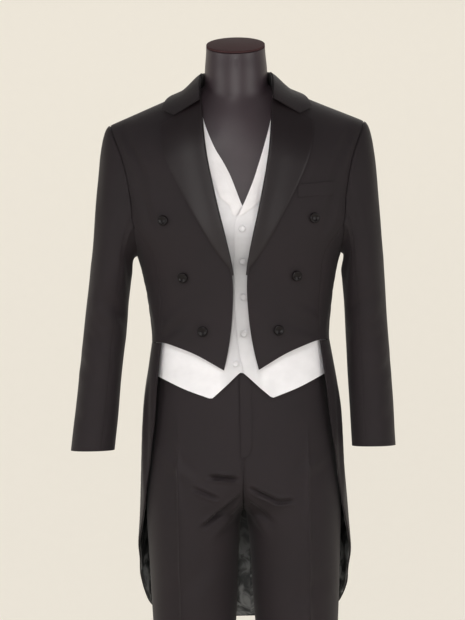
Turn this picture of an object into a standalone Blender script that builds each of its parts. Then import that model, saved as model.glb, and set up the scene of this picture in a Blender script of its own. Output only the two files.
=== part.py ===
"""Three-piece tailcoat tuxedo on a limbless dress form.

Metres, +Z up. The front faces -Y and the wearer's left is +X. The origin is the middle of the
base's underside. Every panel is a wall lofted between its inner and its outer sheet, so that two
panels that meet at a seam share that seam's line and stay SEAM_GAP apart.
"""

import math

import bmesh
import bpy
import numpy as np
from mathutils import Vector

# Walls and gaps
COAT_WALL = 0.0022
LAPEL_WALL = 0.0020
LINING_WALL = 0.0010
VEST_WALL = 0.0020
TROUSER_WALL = 0.0020
SEAM_GAP = 0.0003
LAY_GAP = 0.0008
SEAM_TURN = 0.06

# How far the inner face of each layer lies outside the form
WAISTBAND_OUT = 0.0008
VEST_OUT = 0.0085
COAT_OUT = 0.0160
# The same distances at the shoulder line, where each layer rests on the one inside it
LAYER_OUTS = (0.0, VEST_OUT, VEST_OUT + VEST_WALL, COAT_OUT, COAT_OUT + COAT_WALL, 0.0500)
SHOULDER_OUTS = (0.0, 0.0007, 0.0026, 0.0033, 0.0054, 0.0372)

# Exponents of the rounded sections
BODY_ROUND = 2.4
SLEEVE_ROUND = 2.2

# The form's shoulder line falls from the neck outwards, and front and back round over to it
SHOULDER_TOP = 1.6493
SHOULDER_SLOPE = 0.42
SHOULDER_RISE = 1.085
SHOULDER_DEPTH = 0.14
CROWN_SHARE = 0.6
CROWN_DEPTH = 0.10

# The body inside every layer. form_half is the form's own half width, inside the armholes.
BODY_COLUMNS = ("z", "half", "form_half", "front", "back")
BODY_ROWS = (
    (0.870, 0.1500, 0.1500, 0.092, 0.100),
    (0.930, 0.1600, 0.1600, 0.100, 0.110),
    (1.000, 0.1630, 0.1630, 0.104, 0.110),
    (1.050, 0.1590, 0.1590, 0.1035, 0.104),
    (1.100, 0.1545, 0.1545, 0.1015, 0.0965),
    (1.1425, 0.1505, 0.1505, 0.100, 0.092),
    (1.180, 0.1518, 0.1518, 0.101, 0.093),
    (1.240, 0.1598, 0.1590, 0.106, 0.099),
    (1.305, 0.1748, 0.1700, 0.113, 0.109),
    (1.360, 0.2057, 0.1740, 0.116, 0.114),
    (1.417, 0.2125, 0.1780, 0.113, 0.115),
    (1.485, 0.2273, 0.1860, 0.103, 0.108),
    (1.554, 0.2545, 0.1950, 0.088, 0.094),
    (1.640, 0.2750, 0.2000, 0.072, 0.078),
)

# The neck of the form, and the flat cap that tips forward on it
NECK_COLUMNS = ("z", "radius")
NECK_ROWS = (
    (1.560, 0.0610),
    (1.610, 0.0600),
    (1.657, 0.0590),
    (1.690, 0.0562),
    (1.720, 0.0557),
)
NECK_BLEND = 16
NECK_JOIN_SHARE = 0.6
NECK_BEND = 1.650
NECK_TOP = 1.6995
NECK_TILT = 16.0
CAP_RADIUS = 0.0557
CAP_THICKNESS = 0.0045
CAP_BEVEL = 0.0012

FORM_LEVELS = (
    0.870, 0.900, 0.950, 1.000, 1.050, 1.0985, 1.134, 1.190, 1.250, 1.310, 1.370,
    1.430, 1.480, 1.515, 1.545, 1.570, 1.590, 1.608, 1.622, 1.640, 1.665, NECK_TOP,
)

# Stand
FORM_BOTTOM = 0.870
POST_X = 0.092
POST_RADIUS = 0.014
BASE_RADIUS = 0.210
BASE_THICKNESS = 0.008
BASE_BEVEL = 0.002

# Coat, outer half sizes of the skirt and tails below the waist seam
WAIST_Z = 1.1425
TAIL_COLUMNS = ("z", "half", "front", "back")
TAIL_ROWS = (
    (0.600, 0.2040, 0.125, 0.1500),
    (0.680, 0.2030, 0.126, 0.1500),
    (0.735, 0.2024, 0.128, 0.1495),
    (0.810, 0.1970, 0.130, 0.1490),
    (0.900, 0.1920, 0.131, 0.1470),
    (1.000, 0.1870, 0.130, 0.1400),
    (1.050, 0.1830, 0.128, 0.1310),
    (1.100, 0.1755, 0.124, 0.1190),
    (1.1425, 0.1687, 0.1182, 0.1102),
)

# Coat front edge: the roll line of the lapel above, the cut-away edge below
COAT_EDGE_COLUMNS = ("z", "x")
COAT_EDGE_ROWS = (
    (1.085, 0.0338),
    (1.126, 0.0242),
    (1.176, 0.0167),
    (1.240, 0.0130),
    (1.282, 0.0157),
    (1.333, 0.0260),
    (1.404, 0.0428),
    (1.508, 0.0622),
    (1.609, 0.0694),
    (1.640, 0.0720),
)
COAT_HEM_COLUMNS = ("x", "z")
COAT_HEM_ROWS = ((0.0320, 1.0895), (0.0835, 1.1190), (0.1250, 1.1360), (0.1480, 1.1428), (0.1800, 1.1428))

# Heights that panels share along their seams: the tails up to the waist, then up to the armhole
TAIL_LEVELS = (
    0.603, 0.611, 0.625, 0.648, 0.684, 0.735, 0.790, 0.850, 0.910, 0.970, 1.030, 1.085, 1.1425,
)
SIDE_LEVELS = (1.1428, 1.170, 1.200, 1.235, 1.270, 1.305, 1.335, 1.360)
FRONT_UPPER_ROWS = 9
BACK_UPPER_ROWS = 9
SKIRT_COLUMNS = 6
BACK_COLUMNS = 6
LINING_TOP_ROWS = 11
LINING_HEM = 0.002
LINING_GAP = 0.0010
LINING_EDGE_SHARE = 0.012

# Seams, as angles round the body: 0 is the front, 90 the side and 180 the centre back
SEAM_COLUMNS = ("z", "side", "back", "tail_edge")
SEAM_ROWS = (
    (0.592, 62.0, 158.0, 156.0),
    (0.608, 62.0, 158.0, 145.0),
    (0.621, 62.0, 158.0, 129.0),
    (0.641, 62.0, 158.0, 117.0),
    (0.671, 62.0, 158.0, 107.0),
    (0.712, 62.0, 158.0, 98.0),
    (0.756, 62.0, 158.0, 89.0),
    (0.800, 62.0, 158.0, 79.5),
    (0.840, 62.0, 158.0, 73.0),
    (0.916, 62.0, 158.0, 67.0),
    (1.005, 62.0, 158.5, 60.5),
    (1.142, 60.5, 160.0, 61.0),
    (1.240, 56.0, 152.0, 61.0),
    (1.300, 54.0, 139.0, 61.0),
    (1.335, 56.0, 128.0, 61.0),
    (1.360, 59.0, 121.0, 61.0),
)

# Armhole: its sides run at ARM_TURN from the front and back, over a rounded bottom
ARM_TURN = 59.0
ARM_SIDE_Z = 1.360
ARM_BOTTOM_Z = 1.305
BACK_NECK_HALF = 0.0725
BACK_NECK_DROP = 0.042
# Where the back's columns meet its top edge, crowded round the neck
BACK_TOP_COLUMNS = ("share", "x")
BACK_TOP_ROWS = (
    (0.000, 0.0002),
    (0.167, 0.0280),
    (0.333, 0.0520),
    (0.500, 0.0690),
    (0.667, 0.1120),
    (0.833, 0.1740),
    (1.000, 0.2400),
)

# Sleeves: outer sizes of level rings. inner and outer are distances from the centre plane.
SLEEVE_COLUMNS = ("z", "inner", "outer", "middle_y", "depth")
SLEEVE_ROWS = (
    (0.940, 0.2250, 0.3080, -0.0240, 0.0500),
    (1.000, 0.2200, 0.3030, -0.0160, 0.0525),
    (1.080, 0.2145, 0.2960, -0.0050, 0.0560),
    (1.150, 0.2090, 0.2900, 0.0020, 0.0600),
    (1.220, 0.2040, 0.2840, 0.0020, 0.0650),
    (1.270, 0.1990, 0.2795, 0.0000, 0.0690),
)
# Both sleeves swing to the wearer's right, by this much for each metre below SWING_TOP
SLEEVE_SWING = 0.038
SWING_TOP = 1.400
SLEEVE_SEAM_FRONT = 114.0
SLEEVE_SEAM_BACK = 244.0
SLEEVE_SEAM_TURN = 0.17
SLEEVE_GAP = 0.0010
HEAD_SHARE = 0.42
HEAD_REACH = 0.017
HEAD_REACH_SWING = 0.007
HEAD_DROOP = 0.2
HEAD_FOLLOW = 0.42

# Lapels and collar of the coat
LAPEL_BOTTOM = 1.284
GORGE_INNER_Z = 1.598
GORGE_TIP_Z = 1.5535
LAPEL_COLUMNS = ("z", "x")
LAPEL_ROWS = (
    (1.280, 0.0215),
    (1.295, 0.0310),
    (1.332, 0.0555),
    (1.385, 0.0853),
    (1.451, 0.1190),
    (1.504, 0.1395),
    (1.554, 0.1450),
)
# Down one side of the collar: 0 is its front end and 1 the centre back. x is taken across, and
# fall is the signed root of the drop below the shoulder line, negative in front.
COLLAR_COLUMNS = ("share", "neck_x", "neck_fall", "edge_x", "edge_fall", "fold_x", "fold_y", "fold_z")
COLLAR_ROWS = (
    (0.00, 0.0712, -0.167, 0.1378, -0.154, 0.0700, -0.0640, 1.6005),
    (0.12, 0.0716, -0.130, 0.1400, -0.128, 0.0695, -0.0500, 1.6150),
    (0.25, 0.0722, -0.080, 0.1340, -0.070, 0.0688, -0.0290, 1.6300),
    (0.40, 0.0725, 0.000, 0.1210, 0.000, 0.0675, 0.0000, 1.6410),
    (0.60, 0.0640, 0.095, 0.0980, 0.125, 0.0600, 0.0350, 1.6450),
    (0.80, 0.0380, 0.170, 0.0600, 0.215, 0.0340, 0.0600, 1.6480),
    (1.00, 0.0000, 0.203, 0.0000, 0.262, 0.0000, 0.0670, 1.6500),
)
COLLAR_PUFF_SHARE = 0.45
COLLAR_PUFF = 0.0009
COLLAR_LIFT = 0.0014
# The collar's front end follows the gorge seam out to the corner of the notch, then turns up to its tip
COLLAR_CORNER = 0.70
COLLAR_TIP_Z = 1.5786
COLLAR_END_GAP = 0.0016
COLLAR_END_SHARE = 0.12

# Breast welt pocket on the wearer's left, and the coat's buttons
WELT_INNER = (0.112, 1.4115)
WELT_OUTER = (0.182, 1.4170)
WELT_HEIGHT = 0.024
WELT_WALL = 0.0014
BUTTON_GAP = 0.0004
COAT_BUTTON_ROWS = ((0.141, 1.373), (0.106, 1.265), (0.071, 1.1635))
COAT_BUTTON_RADIUS = 0.0100
COAT_BUTTON_HEIGHT = 0.0060

# Waistcoat: its left front laps over the right one and lies LAP_RISE further out there
LAP_RISE = 0.0033
LAP_START = 0.042
LAP_FULL = 0.027
VEST_EDGE_COLUMNS = ("z", "left", "right")
VEST_EDGE_ROWS = (
    (1.085, 0.0035, 0.0060),
    (1.105, 0.0000, 0.0120),
    (1.130, -0.0040, 0.0200),
    (1.164, -0.0080, 0.0240),
    (1.240, -0.0100, 0.0240),
    (1.356, -0.0086, 0.0240),
    (1.372, -0.0050, 0.0190),
    (1.404, 0.0108, 0.0045),
    (1.430, 0.0224, -0.0050),
    (1.455, 0.0325, -0.0145),
    (1.480, 0.0405, -0.0270),
    (1.510, 0.0500, -0.0440),
    (1.560, 0.0636, -0.0625),
    (1.640, 0.0780, -0.0780),
)
VEST_HEM_COLUMNS = ("x", "z")
VEST_HEM_ROWS = (
    (0.000, 1.0850),
    (0.004, 1.0850),
    (0.030, 1.0600),
    (0.050, 1.0425),
    (0.058, 1.0372),
    (0.066, 1.0392),
    (0.107, 1.0548),
    (0.150, 1.0750),
    (0.170, 1.0840),
)
VEST_BACK_HEM = 1.084
VEST_BACK_REACH = 0.80
VEST_ARM_COLUMNS = ("z", "angle")
VEST_ARM_ROWS = (
    (1.255, 90.0),
    (1.275, 80.0),
    (1.295, 67.0),
    (1.325, 55.0),
    (1.360, 46.5),
    (1.450, 37.0),
    (1.530, 32.0),
    (1.640, 30.0),
)
VEST_COLUMNS = 7
VEST_LAPEL_WALL = 0.0014
VEST_LAPEL_GAP = 0.0015
VEST_LAPEL_WIDTH = 0.036
VEST_LAPEL_TIP_SHARE = 0.25
VEST_LAPEL_SPREAD = 0.045
VEST_LAPEL_BOTTOM = 1.380
VEST_LAPEL_TOP = 1.560
VEST_BUTTON_X = 0.0058
VEST_BUTTON_HEIGHTS = (1.355, 1.294, 1.227, 1.158)
VEST_LOW_BUTTON = (-0.0105, 1.102)
VEST_BUTTON_RADIUS = 0.0065
VEST_BUTTON_HEIGHT = 0.0040

# Trousers, outer sizes of one leg. inner turns negative where both legs join above the crotch.
TROUSER_COLUMNS = ("z", "inner", "outer", "front", "back", "round")
TROUSER_ROWS = (
    (0.035, 0.034, 0.1560, 0.0760, 0.0820, 2.10),
    (0.300, 0.031, 0.1620, 0.0800, 0.0860, 2.10),
    (0.500, 0.026, 0.1690, 0.0870, 0.0910, 2.10),
    (0.630, 0.0165, 0.1770, 0.0960, 0.0980, 2.12),
    (0.756, 0.0100, 0.1820, 0.1060, 0.1060, 2.15),
    (0.805, 0.0050, 0.1845, 0.1100, 0.1100, 2.15),
    (0.821, 0.0004, 0.1845, 0.1110, 0.1120, 2.16),
    (0.840, -0.0350, 0.1845, 0.1130, 0.1150, 2.20),
    (0.865, -0.0780, 0.1838, 0.1160, 0.1180, 2.25),
    (0.900, -0.1300, 0.1815, 0.1170, 0.1200, 2.30),
    (0.950, -0.1760, 0.1765, 0.1160, 0.1200, 2.38),
    (1.000, -0.1710, 0.1710, 0.1135, 0.1175, 2.40),
    (1.040, -0.1660, 0.1660, 0.1102, 0.1120, 2.40),
    (1.070, -0.1630, 0.1630, 0.1085, 0.1070, 2.40),
    (1.100, -0.1577, 0.1577, 0.1047, 0.0995, 2.40),
)
TROUSER_LEVELS = (
    0.035, 0.150, 0.290, 0.420, 0.520, 0.590, 0.650, 0.710, 0.760, 0.795,
    0.821, 0.829, 0.842, 0.857, 0.875, 0.895, 0.925, 0.965, 1.010, 1.055, 1.098,
)
CENTRE_HALF_GAP = 0.0002
CREASE_TURN = 16.0
CREASE_RISE = 0.0030
CREASE_TOP = 0.96
CREASE_FADE = 0.12
WAISTBAND_BOTTOM = 1.0985
WAISTBAND_TOP = 1.134

# Soft folds of the trouser fronts near the crotch, along lines from one end to the other. side is
# the wearer's left at 1 and right at -1.
FOLD_COLUMNS = ("side", "x0", "z0", "x1", "z1", "rise", "width")
FOLD_ROWS = (
    (-1, 0.061, 0.887, 0.010, 0.885, 0.0035, 0.009),
    (-1, 0.088, 0.868, 0.046, 0.851, 0.0035, 0.009),
    (-1, 0.010, 0.847, 0.078, 0.792, 0.0040, 0.011),
    (1, 0.0186, 0.879, 0.0886, 0.8395, 0.0040, 0.010),
)
FLY_INNER = -0.0035
FLY_OUTER = 0.0185
FLY_TOP = 1.096
FLY_BOTTOM = 0.926
FLY_CORNER = 0.026
FLY_FOOT_SHARE = 0.35
FLY_WALL = 0.0014

# Colours
BLACK_WOOL = (0.030, 0.023, 0.026)
BLACK_SATIN = (0.022, 0.016, 0.018)
TAIL_SATIN = (0.070, 0.080, 0.078)
SILVER_SATIN = (0.62, 0.62, 0.64)
WHITE_SATIN = (0.86, 0.86, 0.87)
FORM_SHELL = (0.052, 0.043, 0.045)
BASE_METAL = (0.10, 0.10, 0.10)

OUTER_COAT = COAT_OUT + COAT_WALL
LAPEL_OUT = OUTER_COAT + LAY_GAP


def clear_scene():
    for old in list(bpy.data.objects):
        bpy.data.objects.remove(old, do_unlink=True)


def make_table(columns, rows):
    """Turn rows into a table of named columns, in rising order of the first."""
    ordered = sorted(rows)
    return {name: [row[place] for row in ordered] for place, name in enumerate(columns)}


def read(table, name, key):
    """Read a column at a key, along a smooth curve through the table's rows."""
    keys = next(iter(table.values()))
    values = table[name]
    last = len(keys) - 1
    if key <= keys[0]:
        return values[0]
    if key >= keys[last]:
        return values[last]
    place = max(i for i in range(last) if keys[i] <= key)

    def slope(i):
        low = max(i - 1, 0)
        high = min(i + 1, last)
        return (values[high] - values[low]) / (keys[high] - keys[low])

    span = keys[place + 1] - keys[place]
    t = (key - keys[place]) / span
    start = (1 + 2 * t) * (1 - t) ** 2 * values[place] + t * (1 - t) ** 2 * span * slope(place)
    end = t * t * (3 - 2 * t) * values[place + 1] - t * t * (1 - t) * span * slope(place + 1)
    return start + end


BODY = make_table(BODY_COLUMNS, BODY_ROWS)
NECK = make_table(NECK_COLUMNS, NECK_ROWS)
TAIL = make_table(TAIL_COLUMNS, TAIL_ROWS)
COAT_EDGE = make_table(COAT_EDGE_COLUMNS, COAT_EDGE_ROWS)
COAT_HEM = make_table(COAT_HEM_COLUMNS, COAT_HEM_ROWS)
SEAMS = make_table(SEAM_COLUMNS, SEAM_ROWS)
SLEEVE = make_table(SLEEVE_COLUMNS, SLEEVE_ROWS)
BACK_TOP = make_table(BACK_TOP_COLUMNS, BACK_TOP_ROWS)
LAPEL = make_table(LAPEL_COLUMNS, LAPEL_ROWS)
COLLAR = make_table(COLLAR_COLUMNS, COLLAR_ROWS)
VEST_EDGE = make_table(VEST_EDGE_COLUMNS, VEST_EDGE_ROWS)
VEST_HEM = make_table(VEST_HEM_COLUMNS, VEST_HEM_ROWS)
VEST_ARM = make_table(VEST_ARM_COLUMNS, VEST_ARM_ROWS)
TROUSERS = make_table(TROUSER_COLUMNS, TROUSER_ROWS)


def lerp(a, b, t):
    return a + (b - a) * t


def power(value, exponent):
    """Raise a signed value's size to a power and keep its sign."""
    return math.copysign(abs(value) ** exponent, value)


def material(name, colour, roughness, metallic=0.0):
    made = bpy.data.materials.new(name)
    made.use_nodes = True
    shader = made.node_tree.nodes["Principled BSDF"]
    shader.inputs["Base Color"].default_value = (*colour, 1.0)
    shader.inputs["Roughness"].default_value = roughness
    shader.inputs["Metallic"].default_value = metallic
    return made


def add_object(name, mesh, finish):
    """Put a mesh in the model's collection under its own name and material."""
    made = bpy.data.objects.new(name, mesh)
    mesh.materials.append(finish)
    bpy.data.collections["three_piece_tuxedo"].objects.link(made)
    return made


def wall(name, finish, point, columns, rows, closed=False):
    """Loft a cloth wall. point(t, v, side) is on the inner sheet at side 0 and the outer at 1."""
    bm = bmesh.new()
    sheets = []
    for side in (0, 1):
        sheet = []
        for row in range(rows + 1):
            count = columns if closed else columns + 1
            sheet.append([bm.verts.new(point(c / columns, row / rows, side)) for c in range(count)])
        sheets.append(sheet)
    inner, outer = sheets
    width = len(inner[0])
    for sheet in sheets:
        for low, high in zip(sheet, sheet[1:]):
            for c in range(columns):
                d = (c + 1) % width
                bm.faces.new((low[c], low[d], high[d], high[c]))
    rims = [(inner[0], outer[0]), (inner[-1], outer[-1])]
    for first, second in rims:
        for c in range(columns):
            d = (c + 1) % width
            bm.faces.new((first[c], first[d], second[d], second[c]))
    if not closed:
        for c in (0, -1):
            for row in range(rows):
                bm.faces.new((inner[row][c], inner[row + 1][c], outer[row + 1][c], outer[row][c]))
    bmesh.ops.recalc_face_normals(bm, faces=bm.faces)
    mesh = bpy.data.meshes.new(name)
    bm.to_mesh(mesh)
    bm.free()
    mesh.shade_smooth()
    mesh.set_sharp_from_angle(angle=math.radians(50))
    return add_object(name, mesh, finish)


def stack(name, finish, rings):
    """Loft a closed body through level rings and cap both ends."""
    bm = bmesh.new()
    loops = [[bm.verts.new(point) for point in ring] for ring in rings]
    for low, high in zip(loops, loops[1:]):
        for i in range(len(low)):
            j = (i + 1) % len(low)
            bm.faces.new((low[i], low[j], high[j], high[i]))
    bm.faces.new(reversed(loops[0]))
    bm.faces.new(loops[-1])
    bmesh.ops.recalc_face_normals(bm, faces=bm.faces)
    mesh = bpy.data.meshes.new(name)
    bm.to_mesh(mesh)
    bm.free()
    mesh.shade_smooth()
    mesh.set_sharp_from_angle(angle=math.radians(50))
    return add_object(name, mesh, finish)


def shoulder_line(x, out):
    """Height of a layer's shoulder ridge at a distance across."""
    rise = float(np.interp(out, LAYER_OUTS, SHOULDER_OUTS))
    return SHOULDER_TOP - SHOULDER_SLOPE * abs(x) + SHOULDER_RISE * rise


def closing(drop):
    """Share of the body's depth that is left this far below the shoulder line."""
    share = min(max(drop, 0.0) / SHOULDER_DEPTH, 1.0)
    return math.sqrt(1.0 - (1.0 - share) ** 2)


def section(z, out):
    """Half width, front depth and back depth of the body at a height, moved out."""
    return tuple(read(BODY, name, z) + out for name in ("half", "front", "back"))


def coat_section(z, out):
    """The coat's section, which flares into the tails below the waist."""
    if z >= WAIST_Z:
        return section(z, out)
    return tuple(read(TAIL, name, z) + out - OUTER_COAT for name in ("half", "front", "back"))


def around(angle, z, out, sizes=section):
    """Point of a layer: angle 0 at the front, 90 at the wearer's left, 180 at the back."""
    half, front, back = sizes(z, out)
    turn = math.radians(angle)
    x = half * power(math.sin(turn), 2 / BODY_ROUND)
    facing_front = angle < 90
    depth = (front if facing_front else back) * abs(math.cos(turn)) ** (2 / BODY_ROUND)
    depth = max(depth * closing(shoulder_line(x, out) - z), SEAM_GAP / 2)
    return Vector((x, -depth if facing_front else depth, z))


def angle_at(x, z, out):
    """Angle of a front point from its distance across."""
    half = section(z, out)[0]
    return math.degrees(math.asin(power(max(-1.0, min(1.0, x / half)), BODY_ROUND / 2)))


def front_at(x, z, out):
    """Point of a layer's front from its distance across."""
    return around(angle_at(x, z, out), z, out)


def over_shoulder(x, fall, out):
    """Point near the shoulder line: fall is the signed root of the drop, negative in front."""
    z = shoulder_line(x, out) - fall * fall
    half, front, back = section(z, out)
    share = (1 - min(abs(x) / half, 1) ** BODY_ROUND) ** (1 / BODY_ROUND)
    depth = (front if fall < 0 else back) * share * closing(fall * fall)
    return Vector((x, math.copysign(depth, fall), z))


def height_where(low, high, rises):
    """Height between two limits where a falling measure crosses zero."""
    for _ in range(30):
        middle = (low + high) / 2
        if rises(middle) > 0:
            low = middle
        else:
            high = middle
    return (low + high) / 2


def mirrored(point, hand):
    return Vector((point.x * hand, point.y, point.z))


def eased(share):
    """Crowd the upper rows, where the shoulders round over."""
    return 1 - (1 - share) ** 2


def crowned(low, high, share):
    """Height of a row: even up to the crown, then crowded so that each row turns the same."""
    if share <= CROWN_SHARE:
        return lerp(low, high - CROWN_DEPTH, share / CROWN_SHARE)
    return high - CROWN_DEPTH * ((1 - share) / (1 - CROWN_SHARE)) ** 2


def coat_front_angle(t, z, out):
    start = angle_at(read(COAT_EDGE, "x", z), z, out)
    end = ARM_TURN if z >= ARM_SIDE_Z else read(SEAMS, "side", z) - SEAM_TURN
    return lerp(start, end, t)


def shoulder_height(angle_of, out, line=shoulder_line):
    """Height where a column whose angle follows its height meets the shoulder line."""
    return height_where(1.50, 1.66, lambda z: line(around(angle_of(z), z, out).x, out) - z)


def coat_front(t, v, side):
    """Rows are even along the front edge, and follow the seam's shared heights at the side."""
    out = COAT_OUT + COAT_WALL * side

    def angle(z, column=t):
        return coat_front_angle(column, z, out)

    low = height_where(1.06, 1.20, lambda z: read(COAT_HEM, "z", around(angle(z), z, out).x) - z)
    high = shoulder_height(angle, out)
    below = len(SIDE_LEVELS) - 1
    row = round(v * (below + FRONT_UPPER_ROWS))
    side_top = shoulder_height(lambda z: ARM_TURN, out)
    if row <= below:
        level = SIDE_LEVELS[row]
    else:
        level = lerp(ARM_SIDE_Z, side_top, eased((row - below) / FRONT_UPPER_ROWS))
    side_share = (level - SIDE_LEVELS[0]) / (side_top - SIDE_LEVELS[0])
    edge_share = (crowned(low, high, v) - low) / (high - low)
    z = lerp(low, high, lerp(edge_share, side_share, t))
    return around(angle(z), z, out)


def armhole_bottom(angle):
    share = abs(angle - 90) / (90 - ARM_TURN)
    return ARM_BOTTOM_Z + (ARM_SIDE_Z - ARM_BOTTOM_Z) * min(share, 1.0) ** 2.2


def coat_side_angle(t, z):
    front_seam = read(SEAMS, "side", z) + SEAM_TURN
    back_seam = read(SEAMS, "back", z) - SEAM_TURN
    return lerp(front_seam, back_seam, t)


def coat_side(t, v, side):
    out = COAT_OUT + COAT_WALL * side
    top = height_where(1.25, 1.37, lambda z: armhole_bottom(coat_side_angle(t, z)) - z)
    level = SIDE_LEVELS[round(v * (len(SIDE_LEVELS) - 1))]
    z = lerp(SIDE_LEVELS[0], top, (level - SIDE_LEVELS[0]) / (SIDE_LEVELS[-1] - SIDE_LEVELS[0]))
    return around(coat_side_angle(t, z), z, out, coat_section)


def back_neck(x, out):
    share = min(abs(x) / BACK_NECK_HALF, 1.0)
    return shoulder_line(x, out) - BACK_NECK_DROP * (1 - share * share)


def toward_neck(t, z, out, even, reach):
    """Angle of a back column: even shares low down, crowded round the neck at the top."""
    top = 180 - angle_at(read(BACK_TOP, "x", t) * reach, z, out)
    blend = max(0.0, min(1.0, (z - ARM_SIDE_Z) / 0.20))
    return lerp(even, top, blend)


def coat_back_angle(t, z, out):
    seam = 180 - ARM_TURN if z >= ARM_SIDE_Z else read(SEAMS, "back", z) + SEAM_TURN
    even = lerp(180 - SEAM_TURN, seam, t)
    return even if t in (0, 1) else toward_neck(t, z, out, even, 1.0)


def coat_back(t, v, side):
    """Rows follow the shared heights up to the armhole, then rise to the neck and shoulder."""
    out = COAT_OUT + COAT_WALL * side
    levels = TAIL_LEVELS + SIDE_LEVELS[1:]
    row = round(v * (len(levels) - 1 + BACK_UPPER_ROWS))
    if row < len(levels):
        z = levels[row]
    else:
        top = shoulder_height(lambda height: coat_back_angle(t, height, out), out, back_neck)
        z = lerp(ARM_SIDE_Z, top, eased((row - len(levels) + 1) / BACK_UPPER_ROWS))
    return around(coat_back_angle(t, z, out), z, out, coat_section)


def coat_skirt(t, v, side):
    out = COAT_OUT + COAT_WALL * side
    z = min(TAIL_LEVELS[round((1 - v) * (len(TAIL_LEVELS) - 1))], WAIST_Z - SEAM_GAP)
    angle = lerp(read(SEAMS, "tail_edge", z), read(SEAMS, "back", z) - SEAM_TURN, t)
    return around(angle, z, out, coat_section)


def tail_lining(t, v, side):
    """The lining nests in skirt and back: its rows and columns lie on theirs."""
    out = COAT_OUT - LINING_GAP - LINING_WALL * (1 - side)
    z = max(TAIL_LEVELS[round((1 - v) * LINING_TOP_ROWS)], TAIL_LEVELS[0] + LINING_HEM)
    column = round(t * (SKIRT_COLUMNS + BACK_COLUMNS))
    seam = read(SEAMS, "back", z)
    if column <= SKIRT_COLUMNS:
        edge = read(SEAMS, "tail_edge", z)
        angle = lerp(edge, seam, max(column / SKIRT_COLUMNS, LINING_EDGE_SHARE))
    else:
        angle = lerp(seam, 180 - SEAM_TURN, (column - SKIRT_COLUMNS) / BACK_COLUMNS)
    return around(angle, z, out, coat_section)


def armhole_path(out, steps=48):
    """The armhole's line from the shoulder down the front, under the arm and up the back."""
    def shoulder(angle):
        return height_where(1.50, 1.60, lambda z: shoulder_line(around(angle, z, out).x, out) - z)

    points = []
    front_top = shoulder(ARM_TURN)
    for i in range(steps):
        z = lerp(front_top, ARM_SIDE_Z, i / steps)
        points.append(around(ARM_TURN, z, out))
    for i in range(steps + 1):
        angle = lerp(ARM_TURN, 180 - ARM_TURN, i / steps)
        points.append(around(angle, armhole_bottom(angle), out))
    for i in range(1, steps + 1):
        z = lerp(ARM_SIDE_Z, front_top, i / steps)
        points.append(around(180 - ARM_TURN, z, out))
    return points


ARMHOLE = armhole_path(OUTER_COAT)


def along_armhole(share):
    """Point of the armhole: 0 at the shoulder, half way under the arm, 1 at the shoulder again."""
    middle = len(ARMHOLE) // 2
    half = ARMHOLE[:middle + 1] if share <= 0.5 else ARMHOLE[middle:]
    part = share * 2 if share <= 0.5 else share * 2 - 1
    lengths = [0.0]
    for a, b in zip(half, half[1:]):
        lengths.append(lengths[-1] + (b - a).length)
    goal = part * lengths[-1]
    for i in range(len(half) - 1):
        if goal <= lengths[i + 1]:
            step = lengths[i + 1] - lengths[i]
            return half[i].lerp(half[i + 1], (goal - lengths[i]) / step if step else 0.0)
    return half[-1].copy()


def sleeve_ring(turn, z, inset, hand):
    """Point of a level sleeve ring: turn 0 outside, 90 in front, 180 against the body."""
    inner = read(SLEEVE, "inner", z) + inset
    outer = read(SLEEVE, "outer", z) - inset
    depth = read(SLEEVE, "depth", z) - inset
    across = power(math.cos(math.radians(turn)), 2 / SLEEVE_ROUND)
    ahead = power(math.sin(math.radians(turn)), 2 / SLEEVE_ROUND)
    swing = -hand * SLEEVE_SWING * (SWING_TOP - z)
    x = (inner + outer) / 2 + (outer - inner) / 2 * across + swing
    return Vector((x, read(SLEEVE, "middle_y", z) - depth * ahead, z))


def sleeve_point(turn, v, side, hand):
    inset = COAT_WALL * (1 - side)
    head_z = SLEEVE["z"][-1]
    if v >= HEAD_SHARE:
        z = lerp(head_z, SLEEVE["z"][0], (v - HEAD_SHARE) / (1 - HEAD_SHARE))
        return sleeve_ring(turn, z, inset, hand)
    t = v / HEAD_SHARE
    root = along_armhole(turn / 360) + Vector((SLEEVE_GAP, 0, 0))
    middle = (ARMHOLE[0] + ARMHOLE[len(ARMHOLE) // 2]) / 2
    radial = Vector((0, root.y - middle.y, root.z - middle.z)).normalized()
    root -= radial * inset
    ring = sleeve_ring(turn, head_z, inset, hand)
    lean = (read(SLEEVE, "outer", head_z) - read(SLEEVE, "outer", head_z - 0.05)) / 0.05
    lean += hand * SLEEVE_SWING
    reach = HEAD_REACH + HEAD_REACH_SWING * math.cos(math.radians(turn))
    first = root + Vector((reach, 0, -HEAD_DROOP * reach))
    rise = max(root.z - ring.z, 0.01) * HEAD_FOLLOW
    second = ring + Vector((lean * rise, 0, rise))
    near = root * (1 - t) ** 3 + first * 3 * (1 - t) ** 2 * t
    return near + second * 3 * (1 - t) * t * t + ring * t ** 3


def sleeve_top(hand):
    def at(t, v, side):
        start = SLEEVE_SEAM_BACK - 360 + SLEEVE_SEAM_TURN
        turn = lerp(start, SLEEVE_SEAM_FRONT - SLEEVE_SEAM_TURN, t)
        return sleeve_point(turn % 360, v, side, hand)

    return at


def sleeve_under(hand):
    def at(t, v, side):
        turn = lerp(SLEEVE_SEAM_FRONT + SLEEVE_SEAM_TURN, SLEEVE_SEAM_BACK - SLEEVE_SEAM_TURN, t)
        return sleeve_point(turn, v, side, hand)

    return at


def coat_lapel(t, v, side):
    out = LAPEL_OUT + LAPEL_WALL * side
    z = lerp(LAPEL_BOTTOM, lerp(GORGE_INNER_Z, GORGE_TIP_Z, t), v)
    x = lerp(read(COAT_EDGE, "x", z), read(LAPEL, "x", z), t)
    return front_at(x, z, out)


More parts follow.
